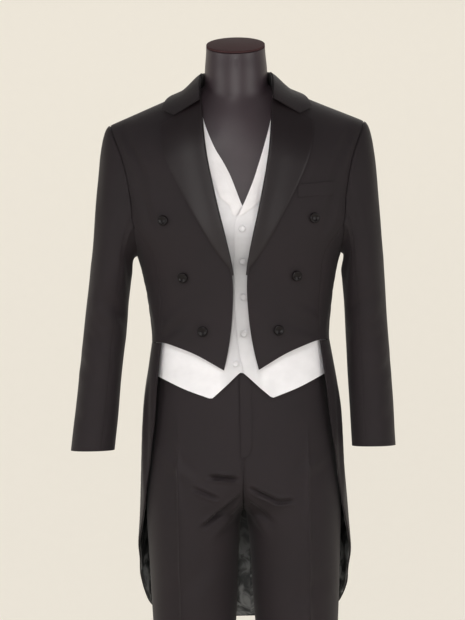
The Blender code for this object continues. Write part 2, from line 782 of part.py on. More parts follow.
def gorge_height(x):
    """Height of the lapel's top edge at a distance across."""
    inner = read(COAT_EDGE, "x", GORGE_INNER_Z)
    outer = read(LAPEL, "x", GORGE_TIP_Z)
    return lerp(GORGE_INNER_Z, GORGE_TIP_Z, (x - inner) / (outer - inner))


def collar_leaf(row, share, part, out):
    """A point of the collar's leaf, part 0 at the neck and 1 at its outer edge."""
    x = lerp(row["neck_x"], row["edge_x"], part)
    fall = lerp(row["neck_fall"], row["edge_fall"], part)
    if share < COLLAR_END_SHARE:
        corner_x = lerp(row["neck_x"], row["edge_x"], COLLAR_CORNER)
        end = gorge_height(min(x, corner_x)) + COLLAR_END_GAP
        if part > COLLAR_CORNER:
            end = lerp(end, COLLAR_TIP_Z, (part - COLLAR_CORNER) / (1 - COLLAR_CORNER))
        drop = shoulder_line(x, LAPEL_OUT + COLLAR_LIFT) - end
        fall = lerp(-math.sqrt(drop), fall, share / COLLAR_END_SHARE)
    return over_shoulder(x, fall, out)


def collar_loop(share, hand):
    """The collar's cross-section at a share of its length: up the stand and down over the leaf."""
    row = {name: read(COLLAR, name, share) for name in COLLAR_COLUMNS[1:]}
    under = LAPEL_OUT + COLLAR_LIFT
    base_in = over_shoulder(row["neck_x"], row["neck_fall"], COAT_OUT - LAPEL_WALL)
    base_in.z += COAT_WALL + 2 * LAY_GAP + COLLAR_LIFT
    base_out = over_shoulder(row["neck_x"], row["neck_fall"], under)
    fold = Vector((row["fold_x"], row["fold_y"], row["fold_z"]))
    fold_side = fold + (base_out - base_in).normalized() * 2 * LAPEL_WALL
    loop = [base_in, fold, fold_side]
    for part, puff in ((COLLAR_PUFF_SHARE, COLLAR_PUFF), (COLLAR_CORNER, 0.0), (1.0, 0.0)):
        loop.append(collar_leaf(row, share, part, under + LAPEL_WALL + puff))
    for part in (1.0, COLLAR_CORNER, COLLAR_PUFF_SHARE):
        loop.append(collar_leaf(row, share, part, under))
    loop.append(base_out)
    return [mirrored(point, hand) for point in loop]


def make_collar(finish, steps=9):
    shares = [i / steps for i in range(steps + 1)]
    rings = [collar_loop(share, 1) for share in shares]
    rings += [collar_loop(share, -1) for share in reversed(shares[:-1])]
    return stack("coat_collar", finish, rings)


def breast_welt(t, v, side):
    out = LAPEL_OUT + WELT_WALL * side
    x = lerp(WELT_INNER[0], WELT_OUTER[0], t)
    z = lerp(WELT_INNER[1], WELT_OUTER[1], t) + WELT_HEIGHT * v
    return front_at(x, z, out)


def lap_rise(x):
    """Extra height of the left front where it laps over the right one."""
    share = (LAP_START - x) / (LAP_START - LAP_FULL)
    share = max(0.0, min(1.0, share))
    return LAP_RISE * share * share * (3 - 2 * share)


def vest_edge(z, hand):
    """Distance across of a front's edge, towards its own side of the body."""
    return read(VEST_EDGE, "left", z) if hand > 0 else -read(VEST_EDGE, "right", z)


def vest_front_angle(t, z, out, hand):
    """Two columns stand at the ends of the lap's slope, and the rest are even."""
    start = angle_at(vest_edge(z, hand), z, out)
    end = read(VEST_ARM, "angle", z)
    full = max(angle_at(LAP_FULL, z, out), lerp(start, end, 0.10))
    slope = max(angle_at(LAP_START, z, out), lerp(start, end, 0.22))
    column = t * VEST_COLUMNS
    if column <= 1:
        return lerp(start, full, column)
    if column <= 2:
        return lerp(full, slope, column - 1)
    return lerp(slope, end, (column - 2) / (VEST_COLUMNS - 2))


def vest_front_at(angle, z, out, hand):
    point = around(angle, z, out)
    if hand < 0:
        return point
    return around(angle_at(point.x, z, out), z, out + lap_rise(point.x)) if angle < 60 else point


def vest_front(hand):
    def point(t, v, side):
        out = VEST_OUT + VEST_WALL * side

        def across(z):
            return around(vest_front_angle(t, z, out, hand), z, out).x

        low = height_where(1.02, 1.11, lambda z: read(VEST_HEM, "z", abs(across(z))) - z)
        high = height_where(1.50, 1.66, lambda z: shoulder_line(across(z), out) - z)
        z = crowned(low, high, v)
        return vest_front_at(vest_front_angle(t, z, out, hand), z, out, hand)
    return point


def vest_lapel(hand):
    def point(t, v, side):
        out = VEST_OUT + VEST_WALL + VEST_LAPEL_GAP + VEST_LAPEL_WALL * side
        z = lerp(VEST_LAPEL_BOTTOM, VEST_LAPEL_TOP, v)
        edge = vest_edge(z, hand)
        if hand < 0:
            edge = max(edge, 4 * SEAM_GAP - vest_edge(z, 1))
        width = VEST_LAPEL_WIDTH * min(
            1.0, VEST_LAPEL_TIP_SHARE + (z - VEST_LAPEL_BOTTOM) / VEST_LAPEL_SPREAD)
        x = edge + width * t
        lift = lap_rise(x) if hand > 0 else 0.0
        return front_at(x, z, out + lift)
    return point


def vest_back(t, v, side):
    """The waistcoat's back, from the left side seam round to the right one."""
    hand = 1 if t <= 0.5 else -1
    part = 1 - abs(2 * t - 1)
    out = VEST_OUT + VEST_WALL * side

    def angle(z):
        even = lerp(180 - read(VEST_ARM, "angle", z), 180, part)
        return even if part in (0, 1) else toward_neck(1 - part, z, out, even, VEST_BACK_REACH)

    z = crowned(VEST_BACK_HEM, shoulder_height(angle, out, back_neck), v)
    return mirrored(around(angle(z), z, out), hand)


def fold_rise(x, z, hand):
    """Height of the soft folds at a place on a trouser front."""
    total = 0.0
    for row in FOLD_ROWS:
        fold = dict(zip(FOLD_COLUMNS, row))
        if fold["side"] != hand:
            continue
        start = Vector((fold["x0"], fold["z0"]))
        run = Vector((fold["x1"], fold["z1"])) - start
        place = Vector((x, z)) - start
        along = max(0.0, min(1.0, place.dot(run) / run.length_squared))
        away = (place - run * along).length
        total += fold["rise"] * math.exp(-((away / fold["width"]) ** 2))
    return total


def leg_sizes(z, inset):
    """Middle, half width, front depth and back depth of one leg at a height."""
    inner = read(TROUSERS, "inner", z) + inset
    outer = read(TROUSERS, "outer", z) - inset
    front = read(TROUSERS, "front", z) - inset
    back = read(TROUSERS, "back", z) - inset
    return (inner + outer) / 2, (outer - inner) / 2, front, back


def leg_start(z, inset):
    """Angle where a leg's section begins: at the inseam, or at the centre plane above it."""
    middle, half, _, _ = leg_sizes(z, inset)
    share = (middle - CENTRE_HALF_GAP) / half
    roundness = read(TROUSERS, "round", z)
    return -90.0 if share >= 1 else -math.degrees(math.asin(power(share, roundness / 2)))


def leg_point(angle, z, inset, face, rise=0.0):
    middle, half, front, back = leg_sizes(z, inset)
    turn = math.radians(angle)
    roundness = read(TROUSERS, "round", z)
    x = middle + half * power(math.sin(turn), 2 / roundness)
    depth = (front if face < 0 else back) * abs(math.cos(turn)) ** (2 / roundness)
    depth = max(depth + rise, SEAM_GAP / 2)
    return Vector((max(x, CENTRE_HALF_GAP), face * depth, z))


def trouser_level(v):
    place = v * (len(TROUSER_LEVELS) - 1)
    low = min(int(place + 1e-6), len(TROUSER_LEVELS) - 2)
    return lerp(TROUSER_LEVELS[low], TROUSER_LEVELS[low + 1], place - low)


def crease_rise(z):
    return CREASE_RISE * max(0.0, min(1.0, (CREASE_TOP - z) / CREASE_FADE))


def trouser_front(hand):
    def point(t, v, side):
        z = trouser_level(v)
        inset = TROUSER_WALL * (1 - side)
        start = leg_start(z, inset)
        crease = max(CREASE_TURN, start + 20)
        angle = lerp(start, crease, t * 2) if t <= 0.5 else lerp(crease, 90, t * 2 - 1)
        plain = leg_point(angle, z, inset, -1)
        rise = fold_rise(plain.x, z, hand) * min(1.0, t * 8, (1 - t) * 8)
        rise += crease_rise(z) * max(0.0, 1 - abs(t - 0.5) * 8)
        return mirrored(leg_point(angle, z, inset, -1, rise), hand)
    return point


def trouser_back(hand):
    def point(t, v, side):
        z = trouser_level(v)
        inset = TROUSER_WALL * (1 - side)
        angle = lerp(leg_start(z, inset), 90, t)
        rise = crease_rise(z) * max(0.0, 1 - abs(t - 0.5) * 6)
        return mirrored(leg_point(angle, z, inset, 1, rise), hand)
    return point


def waistband(t, v, side):
    out = WAISTBAND_OUT + TROUSER_WALL * side
    z = lerp(WAISTBAND_BOTTOM, WAISTBAND_TOP, v)
    turn = 360 * t
    return mirrored(around(min(turn, 360 - turn), z, out), 1 if turn <= 180 else -1)


def trouser_fly(t, v, side):
    z = lerp(FLY_BOTTOM, FLY_TOP, v)
    curve = min(1.0, (z - FLY_BOTTOM) / FLY_CORNER)
    reach = lerp(FLY_FOOT_SHARE, 1.0, math.sqrt(1 - (1 - curve) ** 2))
    x = lerp(FLY_INNER, FLY_OUTER, reach * t)
    middle, half, front, _ = leg_sizes(z, -LAY_GAP - FLY_WALL * side)
    share = min(1.0, abs((abs(x) - middle) / half))
    roundness = read(TROUSERS, "round", z)
    depth = front * (1 - share ** roundness) ** (1 / roundness)
    return Vector((x, -depth, z))


def form_ring(z, columns=24):
    """A level ring of the form, where torso and neck run smoothly into each other."""
    ring = []
    reach = (shoulder_line(0, 0) - z) / SHOULDER_SLOPE
    half = min(read(BODY, "form_half", z), max(reach, 0.002))
    tip = max(0.0, z - NECK_BEND) / (NECK_TOP - NECK_BEND)
    neck = read(NECK, "radius", z)
    for i in range(columns):
        turn = math.radians(360 * i / columns)
        x = half * power(math.sin(turn), 2 / BODY_ROUND)
        face = "front" if math.cos(turn) > 0 else "back"
        depth = read(BODY, face, z) * closing(shoulder_line(x, 0) - z)
        torso = Vector((x, -depth * power(math.cos(turn), 2 / BODY_ROUND)))
        size = (torso.length ** NECK_BLEND + neck ** NECK_BLEND) ** (1 / NECK_BLEND)
        share = (torso.length / neck - NECK_JOIN_SHARE) / (1 - NECK_JOIN_SHARE)
        heading = Vector((math.sin(turn), -math.cos(turn)))
        heading = heading.lerp(torso.normalized(), max(0.0, min(1.0, share)))
        place = heading.normalized() * size
        tilt = place.y * math.tan(math.radians(NECK_TILT)) * tip
        ring.append(Vector((place.x, place.y, z + tilt)))
    return ring


def make_form(finish):
    return stack("form_torso", finish, [form_ring(z) for z in FORM_LEVELS])


def turned(name, finish, profile, steps, place=None):
    """Spin a profile of (radius, height) pairs, given from the top down, about its own Z axis."""
    mesh = bpy.data.meshes.new(name)
    edges = [(i, i + 1) for i in range(len(profile) - 1)]
    mesh.from_pydata([(radius, 0, height) for radius, height in profile], edges, [])
    made = add_object(name, mesh, finish)
    screw = made.modifiers.new("turn", "SCREW")
    screw.steps = steps
    screw.render_steps = steps
    screw.use_merge_vertices = True
    screw.merge_threshold = 0.00005
    screw.use_smooth_shade = True
    if place:
        made.matrix_world = place
    return made


def on_surface(point_at, x, z, gap):
    """Placing matrix at a layer's front: local Z points out of the cloth."""
    here = point_at(x, z)
    across = (point_at(x + 0.004, z) - point_at(x - 0.004, z)).normalized()
    upward = (point_at(x, z + 0.004) - point_at(x, z - 0.004)).normalized()
    normal = across.cross(upward).normalized()
    basis = normal.to_track_quat("Z", "Y").to_matrix().to_4x4()
    basis.translation = here + normal * gap
    return basis


def button_profile(radius, height):
    """A covered button: a low dome over a narrower seat."""
    return (
        (0.0, height),
        (radius * 0.55, height * 0.92),
        (radius * 0.88, height * 0.66),
        (radius, height * 0.38),
        (radius * 0.90, height * 0.12),
        (radius * 0.45, 0.0),
        (0.0, 0.0),
    )


def make_coat_buttons(finish):
    for row, (x, z) in enumerate(COAT_BUTTON_ROWS, start=1):
        for name, hand in (("l", 1), ("r", -1)):
            def surface(across, height):
                return front_at(across, height, OUTER_COAT)
            place = on_surface(surface, x * hand, z, BUTTON_GAP)
            profile = button_profile(COAT_BUTTON_RADIUS, COAT_BUTTON_HEIGHT)
            turned("coat_button_%s%d" % (name, row), finish, profile, 12, place)


def make_vest_buttons(finish):
    def over(across, height):
        return front_at(across, height, VEST_OUT + VEST_WALL + lap_rise(across))

    def under(across, height):
        return front_at(across, height, VEST_OUT + VEST_WALL)

    profile = button_profile(VEST_BUTTON_RADIUS, VEST_BUTTON_HEIGHT)
    for row, z in enumerate(VEST_BUTTON_HEIGHTS, start=1):
        turned("vest_button_%d" % row, finish, profile, 10, on_surface(over, VEST_BUTTON_X, z, BUTTON_GAP))
    x, z = VEST_LOW_BUTTON
    turned("vest_button_5", finish, profile, 10, on_surface(under, x, z, BUTTON_GAP))


def disc(name, finish, radius, thickness, bevel, segments):
    """A flat round plate with softened rims, its underside at its own origin."""
    bm = bmesh.new()
    bmesh.ops.create_cone(
        bm, cap_ends=True, segments=segments, radius1=radius, radius2=radius, depth=thickness)
    bmesh.ops.translate(bm, verts=bm.verts, vec=(0, 0, thickness / 2))
    mesh = bpy.data.meshes.new(name)
    bm.to_mesh(mesh)
    bm.free()
    made = add_object(name, mesh, finish)
    rim = made.modifiers.new("rim", "BEVEL")
    rim.width = bevel
    rim.segments = 1
    rim.limit_method = "ANGLE"
    rim.angle_limit = math.radians(50)
    return made


def make_stand(shell, metal):
    cap = disc("neck_cap", shell, CAP_RADIUS, CAP_THICKNESS, CAP_BEVEL, 24)
    cap.rotation_euler = (math.radians(NECK_TILT), 0, 0)
    cap.location = (0, 0, NECK_TOP + SEAM_GAP / math.cos(math.radians(NECK_TILT)))
    disc("form_base", metal, BASE_RADIUS, BASE_THICKNESS, BASE_BEVEL, 36)
    height = FORM_BOTTOM - BASE_THICKNESS - 2 * SEAM_GAP
    for name, hand in (("l", 1), ("r", -1)):
        bm = bmesh.new()
        bmesh.ops.create_cone(
            bm, cap_ends=True, segments=16, radius1=POST_RADIUS, radius2=POST_RADIUS, depth=height)
        mesh = bpy.data.meshes.new("form_post_" + name)
        bm.to_mesh(mesh)
        bm.free()
        post = add_object("form_post_" + name, mesh, metal)
        post.location = (POST_X * hand, 0, BASE_THICKNESS + SEAM_GAP + height / 2)


def sided(point, hand):
    """The same panel for the wearer's left, or mirrored for the right."""
    return lambda t, v, side: mirrored(point(t, v, side), hand)


def make_coat(wool, satin, lining):
    for name, hand in (("l", 1), ("r", -1)):
        side_rows = len(SIDE_LEVELS) - 1
        tail_rows = len(TAIL_LEVELS) - 1
        back_rows = tail_rows + side_rows + BACK_UPPER_ROWS
        lining_columns = SKIRT_COLUMNS + BACK_COLUMNS
        wall("coat_front_" + name, wool, sided(coat_front, hand), 8, side_rows + FRONT_UPPER_ROWS)
        wall("coat_side_" + name, wool, sided(coat_side, hand), 6, side_rows)
        wall("coat_back_" + name, wool, sided(coat_back, hand), BACK_COLUMNS, back_rows)
        wall("coat_skirt_" + name, wool, sided(coat_skirt, hand), SKIRT_COLUMNS, tail_rows)
        wall("coat_tail_lining_" + name, lining, sided(tail_lining, hand), lining_columns, LINING_TOP_ROWS)
        wall("sleeve_top_" + name, wool, sided(sleeve_top(hand), hand), 10, 12)
        wall("sleeve_under_" + name, wool, sided(sleeve_under(hand), hand), 6, 12)
        wall("coat_lapel_" + name, satin, sided(coat_lapel, hand), 4, 12)
    make_collar(wool)
    wall("breast_welt", wool, breast_welt, 4, 1)
    make_coat_buttons(satin)


def make_vest(strip, band):
    wall("vest_front_l", strip, sided(vest_front(1), 1), VEST_COLUMNS, 15)
    wall("vest_front_r", strip, sided(vest_front(-1), -1), VEST_COLUMNS, 15)
    wall("vest_lapel_l", band, sided(vest_lapel(1), 1), 3, 8)
    wall("vest_lapel_r", band, sided(vest_lapel(-1), -1), 3, 8)
    wall("vest_back", strip, vest_back, 14, 12)
    make_vest_buttons(strip)


def make_trousers(wool):
    for name, hand in (("l", 1), ("r", -1)):
        wall("trouser_front_" + name, wool, trouser_front(hand), 8, len(TROUSER_LEVELS) - 1)
        wall("trouser_back_" + name, wool, trouser_back(hand), 6, len(TROUSER_LEVELS) - 1)
    wall("trouser_waistband", wool, waistband, 24, 1, closed=True)
    wall("trouser_fly", wool, trouser_fly, 3, 7)


def main():
    clear_scene()
    bpy.context.scene.collection.children.link(bpy.data.collections.new("three_piece_tuxedo"))
    wool = material("black_wool", BLACK_WOOL, 0.85)
    satin = material("black_satin", BLACK_SATIN, 0.38)
    lining = material("tail_lining", TAIL_SATIN, 0.40)
    silver = material("silver_satin", SILVER_SATIN, 0.50)
    white = material("white_satin", WHITE_SATIN, 0.50)
    shell = material("form_shell", FORM_SHELL, 0.45)
    metal = material("base_metal", BASE_METAL, 0.40, 0.9)
    make_form(shell)
    make_stand(shell, metal)
    make_trousers(wool)
    make_vest(silver, white)
    make_coat(wool, satin, lining)


main()
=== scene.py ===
"""Looks of a three-piece tailcoat tuxedo on a limbless dress form.

Metres, +Z up. The front faces -Y and the wearer's left is +X. Every cloth panel is a fine grid laid on
the form that its pattern piece has, then given its folds, its wall and its edges.
"""

import math

import bmesh
import bpy
import numpy as np
from bpy.props import FloatProperty, FloatVectorProperty, PointerProperty
from mathutils import Matrix, Vector


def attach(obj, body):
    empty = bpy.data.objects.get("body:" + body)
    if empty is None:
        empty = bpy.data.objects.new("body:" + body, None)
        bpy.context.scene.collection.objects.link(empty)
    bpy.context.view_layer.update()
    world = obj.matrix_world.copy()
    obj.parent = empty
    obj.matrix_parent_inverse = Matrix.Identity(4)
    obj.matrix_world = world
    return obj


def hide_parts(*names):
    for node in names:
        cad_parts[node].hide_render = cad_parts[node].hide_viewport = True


bl_info = {
    "name": "Tailcoat Tuxedo",
    "version": (1, 0, 0),
    "blender": (4, 5, 0),
    "location": "View3D > Sidebar > Tuxedo",
    "description": "Builds the cloth, trims and dress form of a three-piece tailcoat tuxedo",
    "category": "Object",
}

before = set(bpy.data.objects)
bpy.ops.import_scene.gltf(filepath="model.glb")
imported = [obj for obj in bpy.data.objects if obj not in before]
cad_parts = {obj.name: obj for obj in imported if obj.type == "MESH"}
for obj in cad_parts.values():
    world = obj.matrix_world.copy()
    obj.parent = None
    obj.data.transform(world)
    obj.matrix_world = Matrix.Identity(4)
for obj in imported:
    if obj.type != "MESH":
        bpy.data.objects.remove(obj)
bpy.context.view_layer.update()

# Walls, and how far the outer face of each layer lies outside the form
COAT_WALL = 0.0022
TRIM_WALL = 0.0020
LINING_WALL = 0.0010
VEST_WALL = 0.0020
TROUSER_WALL = 0.0020
SEAM_TURN = 0.06
BACK_SEAM_SHARE = 0.1
BACK_SEAM_FADE = 5.0
LAY_GAP = 0.0008
WAISTBAND_OUT = 0.0028
VEST_OUT = 0.0105
COAT_OUT = 0.0182
LAPEL_OUT = COAT_OUT + LAY_GAP
LAYER_OUTS = (0.0, 0.0085, 0.0105, 0.0160, 0.0182, 0.0500)
SHOULDER_OUTS = (0.0, 0.0007, 0.0026, 0.0033, 0.0054, 0.0372)
THINNEST = 0.00015
RIM_SHARE = 0.32
RIM_ANGLE = 50.0
MERGE_DISTANCE = 0.00002
SIDES = (("l", 1), ("r", -1))

# Every panel's columns and rows, how strongly they crowd at its sides and its ends, how far in its edges
# turn and how deep they sink. The edges of the tails' lining, the waistband and the form are plain.
PANELS = {
    "coat front": (60, 120, 0.7, 0.7, 0.0030, 0.0006),
    "coat side": (34, 60, 0.7, 0.7, 0.0030, 0.0006),
    "coat back": (44, 190, 0.7, 0.3, 0.0030, 0.0006),
    "coat skirt": (60, 130, 0.7, 0.7, 0.0030, 0.0006),
    "tail lining": (64, 110, 0.7, 0.7),
    "sleeve top": (84, 150, 0.7, 0.35, 0.0030, 0.0005),
    "sleeve under": (56, 150, 0.7, 0.35, 0.0030, 0.0005),
    "coat lapel": (48, 110, 0.5, 0.7, 0.0020, 0.0004),
    "breast welt": (30, 10, 0.7, 0.7, 0.0015, 0.0004),
    "vest front": (56, 110, 0.7, 0.7, 0.0020, 0.0004),
    "vest lapel": (26, 80, 0.7, 0.7, 0.0020, 0.0005),
    "vest back": (80, 60, 0.0, 0.7, 0.0020, 0.0003),
    "trouser front": (88, 220, 0.7, 0.2, 0.0040, 0.0014),
    "trouser back": (48, 170, 0.7, 0.2, 0.0030, 0.0006),
    "trouser fly": (14, 60, 0.7, 0.7, 0.0015, 0.0004),
    "waistband": (96, 8, 0.0, 0.7),
    "form": (96, 150, 0.0, 0.2),
}

# Swells of pressed cloth: how far the two hands' patterns are shifted, their size across and their height
SWELLS = {
    "coat": (0.4, 0.11, 0.0006),
    "sleeve": (0.2, 0.09, 0.0007),
    "vest": (0.3, 0.07, 0.0004),
    "trouser front": (0.5, 0.10, 0.0008),
    "trouser back": (-0.5, 0.10, 0.0008),
}

# Heights between which each edge is looked for
SHOULDER_LIMITS = (1.50, 1.66)
ARM_TOP_LIMITS = (1.50, 1.60)
ARM_BOTTOM_LIMITS = (1.25, 1.37)
COAT_HEM_LIMITS = (1.06, 1.20)
VEST_HEM_LIMITS = (1.02, 1.11)

# The body inside every layer
BODY_ROUND = 2.4
SHOULDER_TOP = 1.6493
SHOULDER_SLOPE = 0.42
SHOULDER_RISE = 1.085
SHOULDER_DEPTH = 0.14
BODY_COLUMNS = ("z", "half", "form_half", "front", "back")
BODY_ROWS = (
    (0.870, 0.1500, 0.1500, 0.092, 0.100),
    (0.930, 0.1600, 0.1600, 0.100, 0.110),
    (1.000, 0.1630, 0.1630, 0.104, 0.110),
    (1.050, 0.1590, 0.1590, 0.1035, 0.104),
    (1.100, 0.1545, 0.1545, 0.1015, 0.0965),
    (1.1425, 0.1505, 0.1505, 0.100, 0.092),
    (1.180, 0.1518, 0.1518, 0.101, 0.093),
    (1.240, 0.1598, 0.1590, 0.106, 0.099),
    (1.305, 0.1748, 0.1700, 0.113, 0.109),
    (1.360, 0.2057, 0.1740, 0.116, 0.114),
    (1.417, 0.2125, 0.1780, 0.113, 0.115),
    (1.485, 0.2273, 0.1860, 0.103, 0.108),
    (1.554, 0.2545, 0.1950, 0.088, 0.094),
    (1.640, 0.2750, 0.2000, 0.072, 0.078),
)
NECK_COLUMNS = ("z", "radius")
NECK_ROWS = ((1.560, 0.0610), (1.610, 0.0600), (1.657, 0.0590), (1.690, 0.0562), (1.720, 0.0557))
NECK_BLEND = 16
NECK_JOIN_SHARE = 0.6
NECK_BEND = 1.650
NECK_TOP = 1.6995
NECK_TILT = 16.0
CAP_RADIUS = 0.0557
CAP_THICKNESS = 0.0045
CAP_BEVEL = 0.0013
CAP_GAP = 0.0003
FORM_BOTTOM = 0.870
BASE_RADIUS = 0.210
BASE_THICKNESS = 0.008
BASE_BEVEL = 0.0018
SHARP_ANGLE = 40.0

# The coat: skirt and tails below the waist seam, edges, seams and armhole
WAIST_Z = 1.1425
WAIST_SEAM_GAP = 0.0003
TAIL_FOOT = 0.603
SKIRT_SPREAD = 1.5
COAT_SMOOTH_Z = 1.63
COAT_SMOOTH_REACH = 0.10
LINING_GAP = 0.0010
LINING_RISE = 0.002
LINING_TOP = 1.085
LINING_SPREAD = 1.4
LINING_EDGE_SHARE = 0.012
VENT_LAP_TURN = 1.6
VENT_LAP_STEP = 0.0016
VENT_LAP_START = 0.90
VENT_LAP_REACH = 0.08
TAIL_COLUMNS = ("z", "half", "front", "back")
TAIL_ROWS = (
    (0.600, 0.2040, 0.125, 0.1500),
    (0.680, 0.2030, 0.126, 0.1500),
    (0.735, 0.2024, 0.128, 0.1495),
    (0.810, 0.1970, 0.130, 0.1490),
    (0.900, 0.1920, 0.131, 0.1470),
    (1.000, 0.1870, 0.130, 0.1400),
    (1.050, 0.1830, 0.128, 0.1310),
    (1.100, 0.1755, 0.124, 0.1190),
    (1.1425, 0.1687, 0.1182, 0.1102),
)
COAT_EDGE_COLUMNS = ("z", "x")
COAT_EDGE_ROWS = (
    (1.085, 0.0338),
    (1.126, 0.0242),
    (1.176, 0.0167),
    (1.240, 0.0130),
    (1.282, 0.0157),
    (1.333, 0.0260),
    (1.404, 0.0428),
    (1.508, 0.0622),
    (1.609, 0.0694),
    (1.640, 0.0720),
)
COAT_HEM_COLUMNS = ("x", "z")
COAT_HEM_ROWS = ((0.0320, 1.0895), (0.0835, 1.1190), (0.1250, 1.1360), (0.1480, 1.1428), (0.1800, 1.1428))
SEAM_COLUMNS = ("z", "side", "back", "tail_edge")
SEAM_ROWS = (
    (0.592, 62.0, 158.0, 156.0),
    (0.608, 62.0, 158.0, 145.0),
    (0.621, 62.0, 158.0, 129.0),
    (0.641, 62.0, 158.0, 117.0),
    (0.671, 62.0, 158.0, 107.0),
    (0.712, 62.0, 158.0, 98.0),
    (0.756, 62.0, 158.0, 89.0),
    (0.800, 62.0, 158.0, 79.5),
    (0.840, 62.0, 158.0, 73.0),
    (0.916, 62.0, 158.0, 67.0),
    (1.005, 62.0, 158.5, 60.5),
    (1.142, 60.5, 160.0, 61.0),
    (1.240, 56.0, 152.0, 61.0),
    (1.300, 54.0, 139.0, 61.0),
    (1.335, 56.0, 128.0, 61.0),
    (1.360, 59.0, 121.0, 61.0),
)
ARM_TURN = 59.0
ARM_SIDE_Z = 1.360
ARM_BOTTOM_Z = 1.305
ARM_CURVE = 2.2
BACK_NECK_HALF = 0.0725
BACK_NECK_DROP = 0.042
BACK_NECK_SPREAD = 0.20
BACK_CROWN = 0.85
BACK_TOP_COLUMNS = ("share", "x")
BACK_TOP_ROWS = (
    (0.000, 0.0002), (0.167, 0.0280), (0.333, 0.0520), (0.500, 0.0690), (0.667, 0.1120),
    (0.833, 0.1740), (1.000, 0.2400),
)

# Sleeves: outer sizes of level rings
SLEEVE_ROUND = 2.2
SLEEVE_COLUMNS = ("z", "inner", "outer", "middle_y", "depth")
SLEEVE_ROWS = (
    (0.940, 0.2250, 0.3080, -0.0240, 0.0500),
    (1.000, 0.2200, 0.3030, -0.0160, 0.0525),
    (1.080, 0.2145, 0.2960, -0.0050, 0.0560),
    (1.150, 0.2090, 0.2900, 0.0020, 0.0600),
    (1.220, 0.2040, 0.2840, 0.0020, 0.0650),
    (1.270, 0.1990, 0.2795, 0.0000, 0.0690),
)
# Both sleeves swing to the wearer's right, by this much for each metre below SWING_TOP
SLEEVE_SWING = 0.038
SWING_TOP = 1.400
SLEEVE_SEAM_FRONT = 114.0
SLEEVE_SEAM_BACK = 244.0
SLEEVE_SEAM_TURN = 0.17
SLEEVE_GAP = 0.0010
HEAD_SHARE = 0.42
HEAD_REACH = 0.017
HEAD_REACH_SWING = 0.007
HEAD_DROOP = 0.2
HEAD_FOLLOW = 0.42
HEAD_LEAST_RISE = 0.01
HEAD_LEAN_STEP = 0.05
SLEEVE_TUCK = 0.0036
SLEEVE_TUCK_SHARE = 0.007
SLEEVE_FOLD_SHARE = 0.75
SLEEVE_SMOOTH_SHARE = 0.12

# Lapels, collar and welt of the coat
LAPEL_FOOT = 1.268
LAPEL_START = 0.034
LAPEL_WRAP = 0.16
LAPEL_LEAST_WIDTH = 0.002
LAPEL_FLAT_SHARE = 0.25
LAPEL_FLAT_REACH = 0.14
LAPEL_ROLL_SHARE = 0.9
LAPEL_ROLL_WIDTH = 0.016
LAPEL_BELLY = 0.0012
LAPEL_BELLY_START = 0.05
GORGE_INNER_Z = 1.598
GORGE_TIP_Z = 1.5535
LAPEL_COLUMNS = ("z", "x")
LAPEL_ROWS = (
    (1.280, 0.0215), (1.295, 0.0310), (1.332, 0.0555), (1.385, 0.0853), (1.451, 0.1190), (1.504, 0.1395),
    (1.554, 0.1450),
)
COLLAR_COLUMNS = ("share", "neck_x", "neck_fall", "edge_x", "edge_fall", "fold_x", "fold_y", "fold_z")
COLLAR_ROWS = (
    (0.00, 0.0712, -0.167, 0.1378, -0.154, 0.0700, -0.0640, 1.6005),
    (0.12, 0.0716, -0.130, 0.1400, -0.128, 0.0695, -0.0500, 1.6150),
    (0.25, 0.0722, -0.080, 0.1340, -0.070, 0.0688, -0.0290, 1.6300),
    (0.40, 0.0725, 0.000, 0.1210, 0.000, 0.0675, 0.0000, 1.6410),
    (0.60, 0.0640, 0.095, 0.0980, 0.125, 0.0600, 0.0350, 1.6450),
    (0.80, 0.0380, 0.170, 0.0600, 0.215, 0.0340, 0.0600, 1.6480),
    (1.00, 0.0000, 0.203, 0.0000, 0.262, 0.0000, 0.0670, 1.6500),
)
COLLAR_LIFT = 0.0008
# The collar's front end follows the gorge seam out to the corner of the notch, then turns up to its tip
COLLAR_CORNER = 0.70
COLLAR_TIP_Z = 1.5786
COLLAR_END_GAP = 0.0006
COLLAR_END_SHARE = 0.16
COLLAR_FOLD = 0.0052
COLLAR_LANDING = 0.62
WELT_INNER = (0.112, 1.4115)
WELT_OUTER = (0.182, 1.4170)
WELT_HEIGHT = 0.024
WELT_LIFT = 0.0014
WELT_WALL = 0.0014

# Waistcoat
LAP_RISE = 0.0033
LAP_START = 0.042
LAP_FULL = 0.027
VEST_EDGE_COLUMNS = ("z", "left", "right")
VEST_EDGE_ROWS = (
    (1.085, 0.0035, 0.0060),
    (1.105, 0.0000, 0.0120),
    (1.130, -0.0040, 0.0200),
    (1.164, -0.0080, 0.0240),
    (1.240, -0.0100, 0.0240),
    (1.356, -0.0086, 0.0240),
    (1.372, -0.0050, 0.0190),
    (1.404, 0.0108, 0.0045),
    (1.430, 0.0224, -0.0050),
    (1.455, 0.0325, -0.0145),
    (1.480, 0.0405, -0.0270),
    (1.510, 0.0500, -0.0440),
    (1.560, 0.0636, -0.0625),
    (1.640, 0.0780, -0.0780),
)
VEST_HEM_COLUMNS = ("x", "z")
VEST_HEM_ROWS = (
    (0.000, 1.0850), (0.004, 1.0840), (0.030, 1.0600), (0.050, 1.0425), (0.0565, 1.0372),
    (0.058, 1.0366), (0.0595, 1.0372), (0.066, 1.0395), (0.107, 1.0548), (0.150, 1.0750),
    (0.170, 1.0840),
)
VEST_SMOOTH_Z = 1.60
VEST_SMOOTH_REACH = 0.08
VEST_LAP_TURN = 60
BUTTON_PULL = 0.0007
BUTTON_PULL_HEIGHT = 0.012
BUTTON_PULL_WIDTH = 0.03
VEST_BACK_HEM = 1.084
VEST_BACK_REACH = 0.80
VEST_ARM_COLUMNS = ("z", "angle")
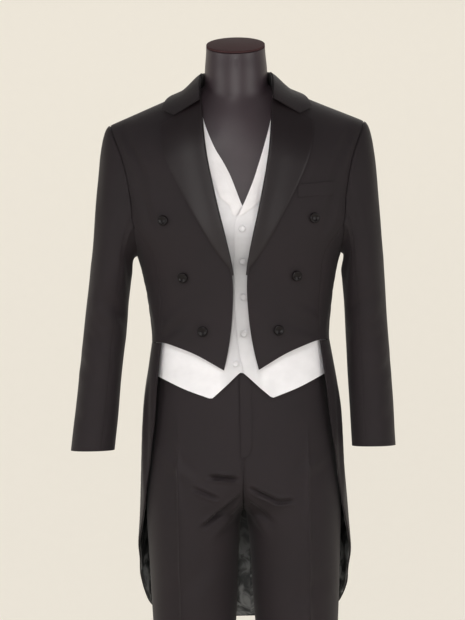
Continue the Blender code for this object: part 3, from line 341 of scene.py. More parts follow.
VEST_ARM_ROWS = (
    (1.255, 90.0), (1.275, 80.0), (1.295, 67.0), (1.325, 55.0), (1.360, 46.5), (1.450, 37.0),
    (1.530, 32.0), (1.640, 30.0),
)
VEST_LAPEL_WIDTH = 0.036
VEST_LAPEL_TIP_SHARE = 0.25
VEST_LAPEL_SPREAD = 0.045
VEST_LAPEL_FOOT = 1.380
VEST_LAPEL_TOP = 1.560
VEST_LAPEL_OUT = VEST_OUT + 0.0029
VEST_LAPEL_WALL = 0.0014
VEST_LAPEL_GAP = 0.0012
VEST_LAPEL_BELLY = 0.0005

# Trousers, outer sizes of one leg
TROUSER_COLUMNS = ("z", "inner", "outer", "front", "back", "round")
TROUSER_ROWS = (
    (0.035, 0.034, 0.1560, 0.0760, 0.0820, 2.10),
    (0.300, 0.031, 0.1620, 0.0800, 0.0860, 2.10),
    (0.500, 0.026, 0.1690, 0.0870, 0.0910, 2.10),
    (0.630, 0.0165, 0.1770, 0.0960, 0.0980, 2.12),
    (0.756, 0.0100, 0.1820, 0.1060, 0.1060, 2.15),
    (0.805, 0.0050, 0.1845, 0.1100, 0.1100, 2.15),
    (0.821, 0.0004, 0.1845, 0.1110, 0.1120, 2.16),
    (0.840, -0.0350, 0.1845, 0.1130, 0.1150, 2.20),
    (0.865, -0.0780, 0.1838, 0.1160, 0.1180, 2.25),
    (0.900, -0.1300, 0.1815, 0.1170, 0.1200, 2.30),
    (0.950, -0.1760, 0.1765, 0.1160, 0.1200, 2.38),
    (1.000, -0.1710, 0.1710, 0.1135, 0.1175, 2.40),
    (1.040, -0.1660, 0.1660, 0.1102, 0.1120, 2.40),
    (1.070, -0.1630, 0.1630, 0.1085, 0.1070, 2.40),
    (1.100, -0.1577, 0.1577, 0.1047, 0.0995, 2.40),
)
TROUSER_FOOT = 0.035
TROUSER_TOP = 1.098
TROUSER_SMOOTH_REACH = 0.03
TROUSER_STILL_EDGE = 9
CENTRE_HALF_GAP = 0.0002
CROTCH_SHARE = 0.657
CROTCH_CROWDING = 0.12
CREASE_TURN = 16.0
CREASE_BEND_Z = 0.76
CREASE_RISE = 0.0054
CREASE_TOP = 1.00
CREASE_FADE = 0.14
CREASE_WIDTH = 0.0042
CREASE_CROWDING = 1.4
CREASE_FROM_EDGE = 12
WAISTBAND_BOTTOM = 1.0985
WAISTBAND_TOP = 1.134
FLY_INNER = -0.0035
FLY_OUTER = 0.0185
FLY_TOP = 1.096
FLY_BOTTOM = 0.926
FLY_CORNER = 0.026
FLY_FOOT_SHARE = 0.35
FLY_WALL = 0.0014

# Folds: lines from one end to the other, with the height of the ridge (below zero for a trough) and its
# half width. On the trouser fronts and backs places are (x, z), with x as on the left leg.
FOLD_END_FADE = 0.75
TROUGH_SHARE = 0.4
TROUGH_AWAY = 1.9
TROUGH_WIDTH = 0.9
FOLD_COLUMNS = ("side", "a0", "z0", "a1", "z1", "rise", "width")
TROUSER_FRONT_FOLDS = (
    (-1, 0.065, 0.891, 0.006, 0.885, -0.0052, 0.0036),
    (-1, 0.092, 0.869, 0.050, 0.850, -0.0038, 0.0038),
    (-1, 0.004, 0.853, 0.078, 0.794, -0.0064, 0.0042),
    (-1, 0.012, 0.830, 0.060, 0.776, 0.0030, 0.0075),
    (-1, 0.150, 0.930, 0.095, 0.878, 0.0020, 0.010),
    (-1, 0.060, 0.735, 0.130, 0.660, -0.0018, 0.016),
    (-1, 0.150, 0.560, 0.070, 0.520, -0.0022, 0.014),
    (-1, 0.060, 0.480, 0.130, 0.445, 0.0024, 0.013),
    (-1, 0.048, 0.150, 0.130, 0.120, -0.0026, 0.012),
    (1, 0.014, 0.867, 0.066, 0.840, -0.0046, 0.0038),
    (1, 0.060, 0.840, 0.092, 0.843, -0.0032, 0.0038),
    (1, 0.006, 0.842, 0.052, 0.802, -0.0030, 0.0046),
    (1, 0.012, 0.826, 0.046, 0.778, 0.0026, 0.0065),
    (1, 0.152, 0.925, 0.104, 0.884, 0.0022, 0.010),
    (1, 0.155, 0.700, 0.080, 0.640, -0.0018, 0.015),
    (1, 0.048, 0.575, 0.125, 0.540, -0.0024, 0.013),
    (1, 0.145, 0.500, 0.064, 0.458, 0.0022, 0.014),
    (1, 0.140, 0.170, 0.052, 0.136, -0.0024, 0.012),
)
TROUSER_BACK_FOLDS = (
    (-1, 0.020, 0.905, 0.110, 0.858, 0.0030, 0.010),
    (-1, 0.012, 0.850, 0.090, 0.800, -0.0032, 0.011),
    (-1, 0.140, 0.800, 0.060, 0.740, 0.0024, 0.013),
    (-1, 0.050, 0.560, 0.140, 0.530, -0.0030, 0.013),
    (-1, 0.146, 0.505, 0.064, 0.478, 0.0028, 0.011),
    (-1, 0.050, 0.140, 0.136, 0.112, -0.0026, 0.012),
    (1, 0.016, 0.898, 0.100, 0.846, 0.0028, 0.010),
    (1, 0.020, 0.836, 0.110, 0.792, -0.0034, 0.012),
    (1, 0.150, 0.760, 0.070, 0.712, 0.0022, 0.014),
    (1, 0.058, 0.545, 0.144, 0.520, -0.0028, 0.012),
    (1, 0.140, 0.492, 0.058, 0.466, 0.0030, 0.011),
    (1, 0.140, 0.150, 0.054, 0.118, -0.0024, 0.012),
)
# On the coat places are (angle round the body, z)
COAT_FOLDS = (
    (-1, 49.0, 1.545, 44.0, 1.420, -0.0022, 0.009),
    (-1, 54.0, 1.470, 40.0, 1.340, -0.0018, 0.010),
    (-1, 30.0, 1.215, 58.0, 1.170, 0.0014, 0.009),
    (-1, 28.0, 1.185, 60.0, 1.150, -0.0014, 0.008),
    (-1, 92.0, 1.270, 76.0, 1.165, -0.0014, 0.010),
    (1, 50.0, 1.540, 45.5, 1.435, -0.0020, 0.009),
    (1, 53.0, 1.462, 42.0, 1.350, -0.0016, 0.010),
    (1, 31.0, 1.205, 60.0, 1.176, 0.0016, 0.009),
    (1, 26.0, 1.176, 58.0, 1.152, -0.0012, 0.008),
    (1, 90.0, 1.262, 78.0, 1.160, -0.0016, 0.010),
    (-1, 128.0, 1.500, 140.0, 1.380, -0.0026, 0.013),
    (-1, 150.0, 1.310, 172.0, 1.235, 0.0018, 0.013),
    (-1, 134.0, 1.215, 168.0, 1.180, -0.0022, 0.011),
    (1, 126.0, 1.490, 139.0, 1.372, -0.0024, 0.013),
    (1, 148.0, 1.300, 170.0, 1.240, 0.0020, 0.012),
    (1, 130.0, 1.208, 170.0, 1.172, -0.0020, 0.011),
    (-1, 104.0, 1.090, 96.0, 0.720, -0.0040, 0.014),
    (-1, 120.0, 1.060, 121.0, 0.650, 0.0042, 0.015),
    (-1, 139.0, 1.100, 138.0, 0.630, -0.0044, 0.016),
    (-1, 80.0, 1.060, 74.0, 0.860, 0.0026, 0.011),
    (1, 107.0, 1.080, 101.0, 0.700, -0.0042, 0.015),
    (1, 124.0, 1.050, 124.0, 0.640, 0.0040, 0.014),
    (1, 143.0, 1.090, 141.0, 0.630, -0.0042, 0.015),
    (1, 82.0, 1.050, 77.0, 0.850, 0.0028, 0.011),
)
# On the sleeves places are (turn round the arm, z)
SLEEVE_FOLDS = (
    (-1, 70.0, 1.235, 150.0, 1.190, -0.0030, 0.010),
    (-1, 60.0, 1.205, 140.0, 1.168, 0.0030, 0.010),
    (-1, 40.0, 1.160, 120.0, 1.135, -0.0026, 0.010),
    (-1, 30.0, 1.520, 50.0, 1.400, 0.0018, 0.013),
    (-1, 348.0, 1.470, 356.0, 1.310, -0.0022, 0.014),
    (-1, 10.0, 1.110, 80.0, 1.080, -0.0020, 0.011),
    (-1, 200.0, 1.170, 290.0, 1.150, -0.0030, 0.012),
    (-1, 210.0, 1.120, 300.0, 1.105, 0.0026, 0.012),
    (-1, 120.0, 1.330, 160.0, 1.250, -0.0028, 0.012),
    (-1, 20.0, 1.010, 100.0, 0.985, -0.0014, 0.012),
    (1, 64.0, 1.228, 146.0, 1.196, -0.0028, 0.010),
    (1, 56.0, 1.200, 130.0, 1.160, 0.0028, 0.010),
    (1, 46.0, 1.150, 126.0, 1.128, -0.0028, 0.010),
    (1, 26.0, 1.515, 44.0, 1.390, 0.0020, 0.013),
    (1, 346.0, 1.460, 2.0, 1.320, -0.0020, 0.014),
    (1, 14.0, 1.100, 84.0, 1.066, -0.0022, 0.011),
    (1, 204.0, 1.160, 294.0, 1.146, -0.0028, 0.012),
    (1, 214.0, 1.112, 296.0, 1.098, 0.0028, 0.012),
    (1, 124.0, 1.324, 158.0, 1.245, -0.0026, 0.012),
    (1, 24.0, 1.004, 96.0, 0.978, -0.0016, 0.012),
)
BODY_METRES_A_DEGREE = 0.0031
SLEEVE_METRES_A_DEGREE = 0.0010

# Buttons: place across and height on the layer that carries them
COAT_BUTTONS = ((0.141, 1.373), (0.106, 1.265), (0.071, 1.1635))
VEST_BUTTON_X = 0.0058
VEST_BUTTONS = (1.355, 1.294, 1.227, 1.158)
VEST_LOW_BUTTON = (-0.0105, 1.102)
BUTTON_GAP = 0.0004
BUTTON_STEP = 0.004
BUTTON_GATHERS = 16
GATHER_DEPTH = 0.00016
GATHER_START = 0.7
# Shares of the radius and of the height, from the top's middle over the rim to the seat
BUTTON_PROFILE = (
    (0.00, 0.720), (0.28, 0.735), (0.46, 0.790), (0.60, 0.900), (0.72, 0.985), (0.81, 1.000), (0.90, 0.930),
    (0.97, 0.740), (1.00, 0.500), (0.98, 0.280), (0.90, 0.120), (0.70, 0.040), (0.45, 0.000), (0.00, 0.000),
)

# Finishes: painted shade that greys the waistcoat's middle between the coat's edges and darkens the
# lining's upper part between the legs, with their shades by height
PAINTED_STRIP_LEVELS = (1.085, 1.40)
PAINTED_STRIP_SIDES = (0.024, 0.042)
PAINTED_STRIP_SHADES = ((0.0, 0.82), (0.25, 0.59), (0.40, 0.53), (0.64, 0.40), (0.80, 0.60), (0.92, 0.94))
PAINTED_LINING_LEVELS = (0.60, 0.84)
PAINTED_LINING_SHADES = ((0.0, 1.0), (0.42, 0.75), (0.66, 0.22), (1.0, 0.16))
TWILL_TURN = 63.0
TWILL_SCALE = 0.32
BUTTON_SHADE = 0.45

# Backdrop, lights and camera
FLOOR_COLOUR = (0.820, 0.775, 0.690)
PAPER_GLOW = 0.68
SWEEP_HALF_WIDTH = 9.0
SWEEP_FRONT = -7.0
SWEEP_BEND = 1.6
SWEEP_RADIUS = 1.8
SWEEP_STEPS = 12
SWEEP_TOP = 6.0
WORLD_COLOUR = (1.0, 0.98, 0.95, 1.0)
WORLD_STRENGTH = 0.22
LAMP_COLOUR = (1.0, 0.985, 0.96)
# Each lamp's name, place, aim, size, power in watts and spread in degrees
LAMPS = (
    ("front softbox", (-0.35, -5.2, 1.9), (0, 0, 1.05), 2.1, 66, 180),
    ("right softbox", (3.6, -2.8, 1.9), (0, 0, 1.1), 2.2, 44, 180),
    ("left softbox", (-3.8, -2.2, 1.9), (0, 0, 1.1), 2.2, 38, 180),
    ("low light", (-0.5, -2.6, 3.3), (0, -0.1, 0.70), 0.5, 1.3, 32),
    ("back softbox", (0.4, 2.2, 3.4), (0, 0, 1.3), 2.0, 24, 180),
)
CAMERA_DISTANCE = 8.0
CAMERA_RISE = 1.5
CAMERA_ROLL = -1.02
CAMERA_AIM = (-0.0147, 0.0, 1.2000)
CAMERA_REACH = 60
FILM_HEIGHT = 36.0
PHOTO_HEIGHT = 1.178


def make_table(columns, rows):
    """Turn rows into arrays of named columns, in rising order of the first."""
    ordered = sorted(rows)
    return {name: np.array([row[place] for row in ordered]) for place, name in enumerate(columns)}


def read(table, name, key):
    """Read a column at one or many keys, along a smooth curve through the table's rows."""
    keys = next(iter(table.values()))
    values = table[name]
    last = len(keys) - 1
    index = np.arange(last + 1)
    low = np.maximum(index - 1, 0)
    high = np.minimum(index + 1, last)
    slopes = (values[high] - values[low]) / (keys[high] - keys[low])
    place = np.clip(np.searchsorted(keys, key, side="right") - 1, 0, last - 1)
    span = keys[place + 1] - keys[place]
    t = np.clip((key - keys[place]) / span, 0.0, 1.0)
    start = (1 + 2 * t) * (1 - t) ** 2 * values[place] + t * (1 - t) ** 2 * span * slopes[place]
    end = t * t * (3 - 2 * t) * values[place + 1] - t * t * (1 - t) * span * slopes[place + 1]
    return start + end


BODY = make_table(BODY_COLUMNS, BODY_ROWS)
NECK = make_table(NECK_COLUMNS, NECK_ROWS)
TAIL = make_table(TAIL_COLUMNS, TAIL_ROWS)
COAT_EDGE = make_table(COAT_EDGE_COLUMNS, COAT_EDGE_ROWS)
COAT_HEM = make_table(COAT_HEM_COLUMNS, COAT_HEM_ROWS)
SEAMS = make_table(SEAM_COLUMNS, SEAM_ROWS)
SLEEVE = make_table(SLEEVE_COLUMNS, SLEEVE_ROWS)
BACK_TOP = make_table(BACK_TOP_COLUMNS, BACK_TOP_ROWS)
LAPEL = make_table(LAPEL_COLUMNS, LAPEL_ROWS)
COLLAR = make_table(COLLAR_COLUMNS, COLLAR_ROWS)
VEST_EDGE = make_table(VEST_EDGE_COLUMNS, VEST_EDGE_ROWS)
VEST_HEM = make_table(VEST_HEM_COLUMNS, VEST_HEM_ROWS)
VEST_ARM = make_table(VEST_ARM_COLUMNS, VEST_ARM_ROWS)
TROUSERS = make_table(TROUSER_COLUMNS, TROUSER_ROWS)


def lerp(a, b, t):
    return a + (b - a) * t


def smooth(t):
    """Ease from 0 to 1, flat at both ends."""
    t = np.clip(t, 0.0, 1.0)
    return t * t * (3 - 2 * t)


def power(value, exponent):
    """Raise a signed value's size to a power and keep its sign."""
    return np.sign(value) * np.abs(value) ** exponent


def crowd(count, strength):
    """Shares from 0 to 1, closer together at both ends where the edges turn."""
    even = np.linspace(0, 1, count + 1)
    return even - strength * np.sin(2 * math.pi * even) / (2 * math.pi)


def grid(panel):
    """Shares across and along a panel, as two arrays with a row for each level."""
    columns, rows, across, along = PANELS[panel][:4]
    return np.meshgrid(crowd(columns, across), crowd(rows, along))


def place_at(x, y, z):
    return np.stack(np.broadcast_arrays(x, y, z), axis=-1).astype(float)


def shoulder_line(x, out):
    """Height of a layer's shoulder ridge at a distance across."""
    rise = np.interp(out, LAYER_OUTS, SHOULDER_OUTS)
    return SHOULDER_TOP - SHOULDER_SLOPE * np.abs(x) + SHOULDER_RISE * rise


def closing(drop):
    """Share of the body's depth that is left this far below the shoulder line."""
    share = np.clip(drop / SHOULDER_DEPTH, 0.0, 1.0)
    return np.sqrt(1.0 - (1.0 - share) ** 2)


def section(z, out):
    """Half width, front depth and back depth of the body at a height, moved out."""
    return tuple(read(BODY, name, z) + out for name in ("half", "front", "back"))


def coat_section(z, out):
    """The coat's section, which flares into the tails below the waist."""
    above = section(z, out)
    below = (read(TAIL, name, z) + out - COAT_OUT for name in ("half", "front", "back"))
    return tuple(np.where(z >= WAIST_Z, high, low) for high, low in zip(above, below))


def around(angle, z, out, sizes=section):
    """Points of a layer: angle 0 at the front, 90 at the wearer's left, 180 at the back."""
    half, front, back = sizes(z, out)
    turn = np.radians(angle)
    x = half * power(np.sin(turn), 2 / BODY_ROUND)
    depth = np.where(angle < 90, front, back) * np.abs(np.cos(turn)) ** (2 / BODY_ROUND)
    depth = np.maximum(depth * closing(shoulder_line(x, out) - z), THINNEST)
    return place_at(x, np.where(angle < 90, -depth, depth), z)


def angle_at(x, z, out):
    """Angle of a front point from its distance across."""
    half = section(z, out)[0]
    return np.degrees(np.arcsin(power(np.clip(x / half, -1, 1), BODY_ROUND / 2)))


def front_at(x, z, out):
    """Points of a layer's front from their distance across."""
    return around(angle_at(x, z, out), z, out)


def over_shoulder(x, fall, out):
    """Points near the shoulder line: fall is the signed root of the drop, negative in front."""
    z = shoulder_line(x, out) - fall * fall
    half, front, back = section(z, out)
    share = (1 - np.minimum(np.abs(x) / half, 1) ** BODY_ROUND) ** (1 / BODY_ROUND)
    depth = np.where(fall < 0, front, back) * share * closing(fall * fall)
    return place_at(x, np.sign(fall) * depth, z)


def height_where(low, high, above):
    """Heights between two limits where a falling measure crosses zero."""
    for _ in range(30):
        middle = (low + high) / 2
        rises = above(middle) > 0
        low = np.where(rises, middle, low)
        high = np.where(rises, high, middle)
    return (low + high) / 2


def crowned(low, high, share, crown=0.62, depth=0.10):
    """Heights of rows: even up to the crown, then crowded so that each row turns the same."""
    straight = lerp(low, high - depth, share / crown)
    turned = high - depth * (np.clip(1 - share, 0, 1) / (1 - crown)) ** 2
    return np.where(share <= crown, straight, turned)


def half_turn(angle):
    """The same angle between -180 and 180."""
    return (angle + 180) % 360 - 180


def fold_lift(rows, hand, a, z, metres=None):
    """Height of the soft folds at each place, with a shallow trough beside each ridge.

    Where metres is given, places across are angles, and metres is the length of a degree.
    """
    total = np.zeros(np.broadcast(a, z).shape)
    for row in rows:
        fold = dict(zip(FOLD_COLUMNS, row))
        if fold["side"] != hand:
            continue
        reach = fold["a1"] - fold["a0"]
        da = a - fold["a0"]
        if metres:
            reach = half_turn(reach) * metres
            da = half_turn(da) * metres
        run = np.array((reach, fold["z1"] - fold["z0"]))
        dz = z - fold["z0"]
        along = np.clip((da * run[0] + dz * run[1]) / (run @ run), 0, 1)
        away = np.hypot(da - along * run[0], dz - along * run[1]) / fold["width"]
        fade = 1 - FOLD_END_FADE * np.abs(2 * along - 1) ** 3
        trough = TROUGH_SHARE * np.exp(-((away - TROUGH_AWAY) / TROUGH_WIDTH) ** 2)
        total += fold["rise"] * fade * (np.exp(-away ** 2) - trough)
    return total


def swell(name, hand, a, z):
    """Gentle swells of hand-pressed cloth, the same at every run and different on the two hands."""
    shift, size, height = SWELLS[name]
    a = a + shift * hand
    wave = np.sin(a / size * 2.1 + 1.3 * np.sin(z / size * 1.7)) * np.sin(z / size * 1.9 + 0.6)
    wave = wave + 0.6 * np.sin(a / size * 3.7 - z / size * 2.3 + 0.9)
    return wave / 1.6 * height


def below(z, top, reach):
    """0 above a height, rising to 1 at this reach below it."""
    return np.clip((top - z) / reach, 0, 1)


def edge_turn(points, panel):
    """How far each point sinks towards the panel's edges, like a pressed and sewn seam."""
    margin, depth = PANELS[panel][4:]
    across = np.linalg.norm(np.diff(points, axis=1), axis=2)
    left = np.concatenate([np.zeros((len(points), 1)), np.cumsum(across, axis=1)], axis=1)
    near = np.minimum(left, left[:, -1:] - left)
    return -depth * np.exp(-(near / margin) ** 2)


def normals_of(points):
    """Unit normals of a grid of points, outwards where its columns run to the wearer's left."""
    across = np.gradient(points, axis=1)
    along = np.gradient(points, axis=0)
    normal = np.cross(across, along)
    size = np.linalg.norm(normal, axis=2, keepdims=True)
    return normal / np.maximum(size, 1e-12)


def lifted(points, height):
    return points + normals_of(points) * height[..., None]


def unlifted(points):
    return points, np.zeros(points.shape[:2])


def grid_mesh(points, closed=False):
    """A fine sheet from a grid of points, with its lengths in metres as its UV map."""
    rows = points.shape[0] - 1
    columns = points.shape[1] - 1
    across = np.linalg.norm(np.diff(points, axis=1), axis=2)
    along = np.linalg.norm(np.diff(points, axis=0), axis=2)
    u = np.concatenate([np.zeros((rows + 1, 1)), np.cumsum(across, axis=1)], axis=1)
    v = np.concatenate([np.zeros((1, columns + 1)), np.cumsum(along, axis=0)], axis=0)
    u = u - u[:, columns // 2:columns // 2 + 1]
    bm = bmesh.new()
    bmesh.ops.create_grid(bm, x_segments=columns, y_segments=rows, size=1)
    layer = bm.loops.layers.uv.new("cloth")
    place_of = {}
    for vert in bm.verts:
        column = round((vert.co.x + 1) / 2 * columns)
        row = round((vert.co.y + 1) / 2 * rows)
        place_of[vert] = (row, column)
        vert.co = points[row, column]
    for face in bm.faces:
        for loop in face.loops:
            row, column = place_of[loop.vert]
            loop[layer].uv = (u[row, column], v[row, column])
    if closed:
        bmesh.ops.remove_doubles(bm, verts=bm.verts, dist=MERGE_DISTANCE)
    return bm


def finish_mesh(name, bm, finish):
    mesh = bpy.data.meshes.new(name)
    bm.to_mesh(mesh)
    bm.free()
    mesh.shade_smooth()
    made = bpy.data.objects.new(name, mesh)
    mesh.materials.append(finish)
    bpy.context.scene.collection.objects.link(made)
    return made


def sewn_edges(made, wall):
    """Give a sheet its cloth wall, inwards, and soften the rims."""
    thick = made.modifiers.new("wall", "SOLIDIFY")
    thick.thickness = wall
    thick.offset = -1
    rim = made.modifiers.new("turned edge", "BEVEL")
    rim.width = wall * RIM_SHARE
    rim.segments = 2
    rim.limit_method = "ANGLE"
    rim.angle_limit = math.radians(RIM_ANGLE)
    rim.harden_normals = True


def ridden(made, node):
    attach(made, "root")
    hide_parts(node)
    return made


def cloth(name, panel, finish, wall, node, hand=1,
          closed=False):
    """Make one panel: its shape comes from its base lifted by the height of its folds."""
    base, height = panel
    points = lifted(base, height)
    if hand < 0:
        points = points * np.array((-1.0, 1.0, 1.0))
        points = points[:, ::-1]
    made = ridden(finish_mesh(name, grid_mesh(points, closed), finish), node)
    sewn_edges(made, wall)


def shoulder_height(angle_of, out, line=shoulder_line):
    """Heights where columns whose angle follows their height meet the shoulder line."""
    return height_where(*SHOULDER_LIMITS, lambda z: line(around(angle_of(z), z, out)[..., 0], out) - z)


def body_height(angle, z, hand, strength):
    """Folds and swells of the coat's body at places round it."""
    folds = fold_lift(COAT_FOLDS, hand, angle, z, BODY_METRES_A_DEGREE)
    height = folds + swell("coat", hand, angle * BODY_METRES_A_DEGREE, z)
    return height * strength * below(z, COAT_SMOOTH_Z, COAT_SMOOTH_REACH)


def coat_front(hand, strength):
    t, v = grid("coat front")
    column = t[0]

    def angle(z, share):
        start = angle_at(read(COAT_EDGE, "x", z), z, COAT_OUT)
        end = np.where(z >= ARM_SIDE_Z, ARM_TURN, read(SEAMS, "side", z) - SEAM_TURN)
        return lerp(start, end, share)

    def above_hem(z):
        return read(COAT_HEM, "z", around(angle(z, column), z, COAT_OUT)[..., 0]) - z

    low = height_where(*COAT_HEM_LIMITS, above_hem)
    high = shoulder_height(lambda z: angle(z, column), COAT_OUT)
    z = crowned(low, high, v)
    turn = angle(z, t)
    base = around(turn, z, COAT_OUT)
    return base, body_height(turn, z, hand, strength) + edge_turn(base, "coat front")


def armhole_bottom(angle):
    share = np.minimum(np.abs(angle - 90) / (90 - ARM_TURN), 1.0)
    return ARM_BOTTOM_Z + (ARM_SIDE_Z - ARM_BOTTOM_Z) * share ** ARM_CURVE


def coat_side(hand, strength):
    t, v = grid("coat side")

    def angle(z, share):
        return lerp(read(SEAMS, "side", z) + SEAM_TURN, read(SEAMS, "back", z) - SEAM_TURN, share)

    top = height_where(*ARM_BOTTOM_LIMITS, lambda z: armhole_bottom(angle(z, t[0])) - z)
    z = lerp(WAIST_Z + WAIST_SEAM_GAP, top, v)
    base = around(angle(z, t), z, COAT_OUT)
    return base, body_height(angle(z, t), z, hand, strength) + edge_turn(base, "coat side")


def back_neck(x, out):
    share = np.minimum(np.abs(x) / BACK_NECK_HALF, 1.0)
    return shoulder_line(x, out) - BACK_NECK_DROP * (1 - share * share)


def toward_neck(t, z, out, even, reach):
    """Angles of back columns: even shares low down, crowded round the neck at the top."""
    top = 180 - angle_at(read(BACK_TOP, "x", t) * reach, z, out)
    blend = np.clip((z - ARM_SIDE_Z) / BACK_NECK_SPREAD, 0.0, 1.0)
    inner = (t > 0) & (t < 1)
    return np.where(inner, lerp(even, top, blend), even)


def coat_back(hand, strength):
    t, v = grid("coat back")
    t = 1 - t

    def angle(z, share):
        seam = np.where(z >= ARM_SIDE_Z, 180 - ARM_TURN, read(SEAMS, "back", z) + SEAM_TURN)
        return toward_neck(share, z, COAT_OUT, lerp(180 - SEAM_TURN * BACK_SEAM_SHARE, seam, share), 1.0)

    high = shoulder_height(lambda z: angle(z, t[0]), COAT_OUT, back_neck)
    z = crowned(TAIL_FOOT, high, v, BACK_CROWN)
    turn = angle(z, t)
    base = around(turn, z, COAT_OUT, coat_section)
    from_centre = smooth((180 - turn) / BACK_SEAM_FADE)
    return base, body_height(turn, z, hand, strength) * from_centre + edge_turn(base, "coat back")


def coat_skirt(hand, strength):
    t, v = grid("coat skirt")
    z = lerp(TAIL_FOOT, WAIST_Z - WAIST_SEAM_GAP, v ** SKIRT_SPREAD)
    turn = lerp(read(SEAMS, "tail_edge", z), read(SEAMS, "back", z) - SEAM_TURN, t)
    base = around(turn, z, COAT_OUT, coat_section)
    return base, body_height(turn, z, hand, strength) + edge_turn(base, "coat skirt")


def tail_lining(hand, strength):
    """The lining of one tail; the wearer's right one laps under the left one at the centre vent."""
    t, v = grid("tail lining")
    out = COAT_OUT - COAT_WALL - LINING_GAP
    last = 180 - SEAM_TURN
    if hand < 0:
        last = 180 + VENT_LAP_TURN
        out = out - VENT_LAP_STEP * smooth((t - VENT_LAP_START) / VENT_LAP_REACH)
    z = lerp(TAIL_FOOT + LINING_RISE, LINING_TOP, v ** LINING_SPREAD)
    edge = read(SEAMS, "tail_edge", z)
    turn = lerp(edge + LINING_EDGE_SHARE * (read(SEAMS, "back", z) - edge), last, t)
    return around(turn, z, out, coat_section), body_height(turn, z, hand, strength)


def armhole_path(steps=60):
    """The armhole's line from the shoulder down the front, under the arm and up the back."""
    def below_shoulder(z):
        return shoulder_line(around(ARM_TURN, z, COAT_OUT)[..., 0], COAT_OUT) - z

    top = float(height_where(*ARM_TOP_LIMITS, below_shoulder))
    down = np.linspace(top, ARM_SIDE_Z, steps, endpoint=False)
    under = np.linspace(ARM_TURN, 180 - ARM_TURN, steps + 1)
    front = around(np.full(steps, ARM_TURN), down, COAT_OUT)
    bottom = around(under, armhole_bottom(under), COAT_OUT)
    back = around(np.full(steps, 180 - ARM_TURN), down[::-1], COAT_OUT)
    return np.concatenate([front, bottom, back])


ARMHOLE = armhole_path()


def along_armhole(share):
    """Points of the armhole: 0 at the shoulder, half way under the arm, 1 at the shoulder again."""
    middle = len(ARMHOLE) // 2
    length = np.concatenate([[0.0], np.cumsum(np.linalg.norm(np.diff(ARMHOLE, axis=0), axis=1))])
    half = length[middle]
    goal = np.where(share <= 0.5, share * 2 * half, half + (share * 2 - 1) * (length[-1] - half))
    return np.stack([np.interp(goal, length, ARMHOLE[:, i]) for i in range(3)], axis=-1)


def sleeve_ring(turn, z, hand):
    """Points of level sleeve rings: turn 0 outside, 90 in front, 180 against the body."""
    inner = read(SLEEVE, "inner", z)
    outer = read(SLEEVE, "outer", z)
    across = power(np.cos(np.radians(turn)), 2 / SLEEVE_ROUND)
    ahead = power(np.sin(np.radians(turn)), 2 / SLEEVE_ROUND)
    x = (inner + outer) / 2 + (outer - inner) / 2 * across - hand * SLEEVE_SWING * (SWING_TOP - z)
    return place_at(x, read(SLEEVE, "middle_y", z) - read(SLEEVE, "depth", z) * ahead, z)


def sleeve_head(turn, share, hand):
    """The armhole's points, and the sleeve's from there (share 0) to its first level ring (share 1)."""
    s = share[..., None]
    head_z = SLEEVE["z"][-1]
    root = along_armhole(np.mod(turn, 360) / 360) + np.array((SLEEVE_GAP, 0, 0))
    ring = sleeve_ring(turn, np.full(turn.shape, head_z), hand)
    spread = read(SLEEVE, "outer", head_z) - read(SLEEVE, "outer", head_z - HEAD_LEAN_STEP)
    lean = spread / HEAD_LEAN_STEP + hand * SLEEVE_SWING
    reach = HEAD_REACH + HEAD_REACH_SWING * np.cos(np.radians(turn))
    first_pull = root + place_at(reach, 0 * reach, -HEAD_DROOP * reach)
    rise = np.maximum(root[..., 2] - ring[..., 2], HEAD_LEAST_RISE) * HEAD_FOLLOW
    second_pull = ring + place_at(lean * rise, 0 * rise, rise)
    head = root * (1 - s) ** 3 + first_pull * 3 * (1 - s) ** 2 * s
    return root, head + second_pull * 3 * (1 - s) * s * s + ring * s ** 3


def sleeve(panel, hand, first, last, strength):
    t, v = grid(panel)
    turn = lerp(first, last, t)
    foot, head_z = SLEEVE["z"][[0, -1]]
    down = np.clip((v - HEAD_SHARE) / (1 - HEAD_SHARE), 0, 1)
    straight = sleeve_ring(turn, lerp(head_z, foot, down), hand)
    root, head = sleeve_head(turn, np.clip(v / HEAD_SHARE, 0, 1), hand)
    base = np.where((v < HEAD_SHARE)[..., None], head, straight)
    inward = ARMHOLE.mean(axis=0) - root
    inward[..., 0] = 0
    inward = inward / np.linalg.norm(inward, axis=-1, keepdims=True)
    tucked = np.clip(1 - v / SLEEVE_TUCK_SHARE, 0, 1)[..., None]
    base = base + tucked * (inward * SLEEVE_TUCK - np.array((SLEEVE_TUCK, 0, 0)))
    z = base[..., 2]
    folds = fold_lift(SLEEVE_FOLDS, hand, turn, z, SLEEVE_METRES_A_DEGREE) * SLEEVE_FOLD_SHARE
    height = folds + swell("sleeve", hand, turn * SLEEVE_METRES_A_DEGREE, z)
    return base, height * strength * smooth(v / SLEEVE_SMOOTH_SHARE) + edge_turn(base, panel)


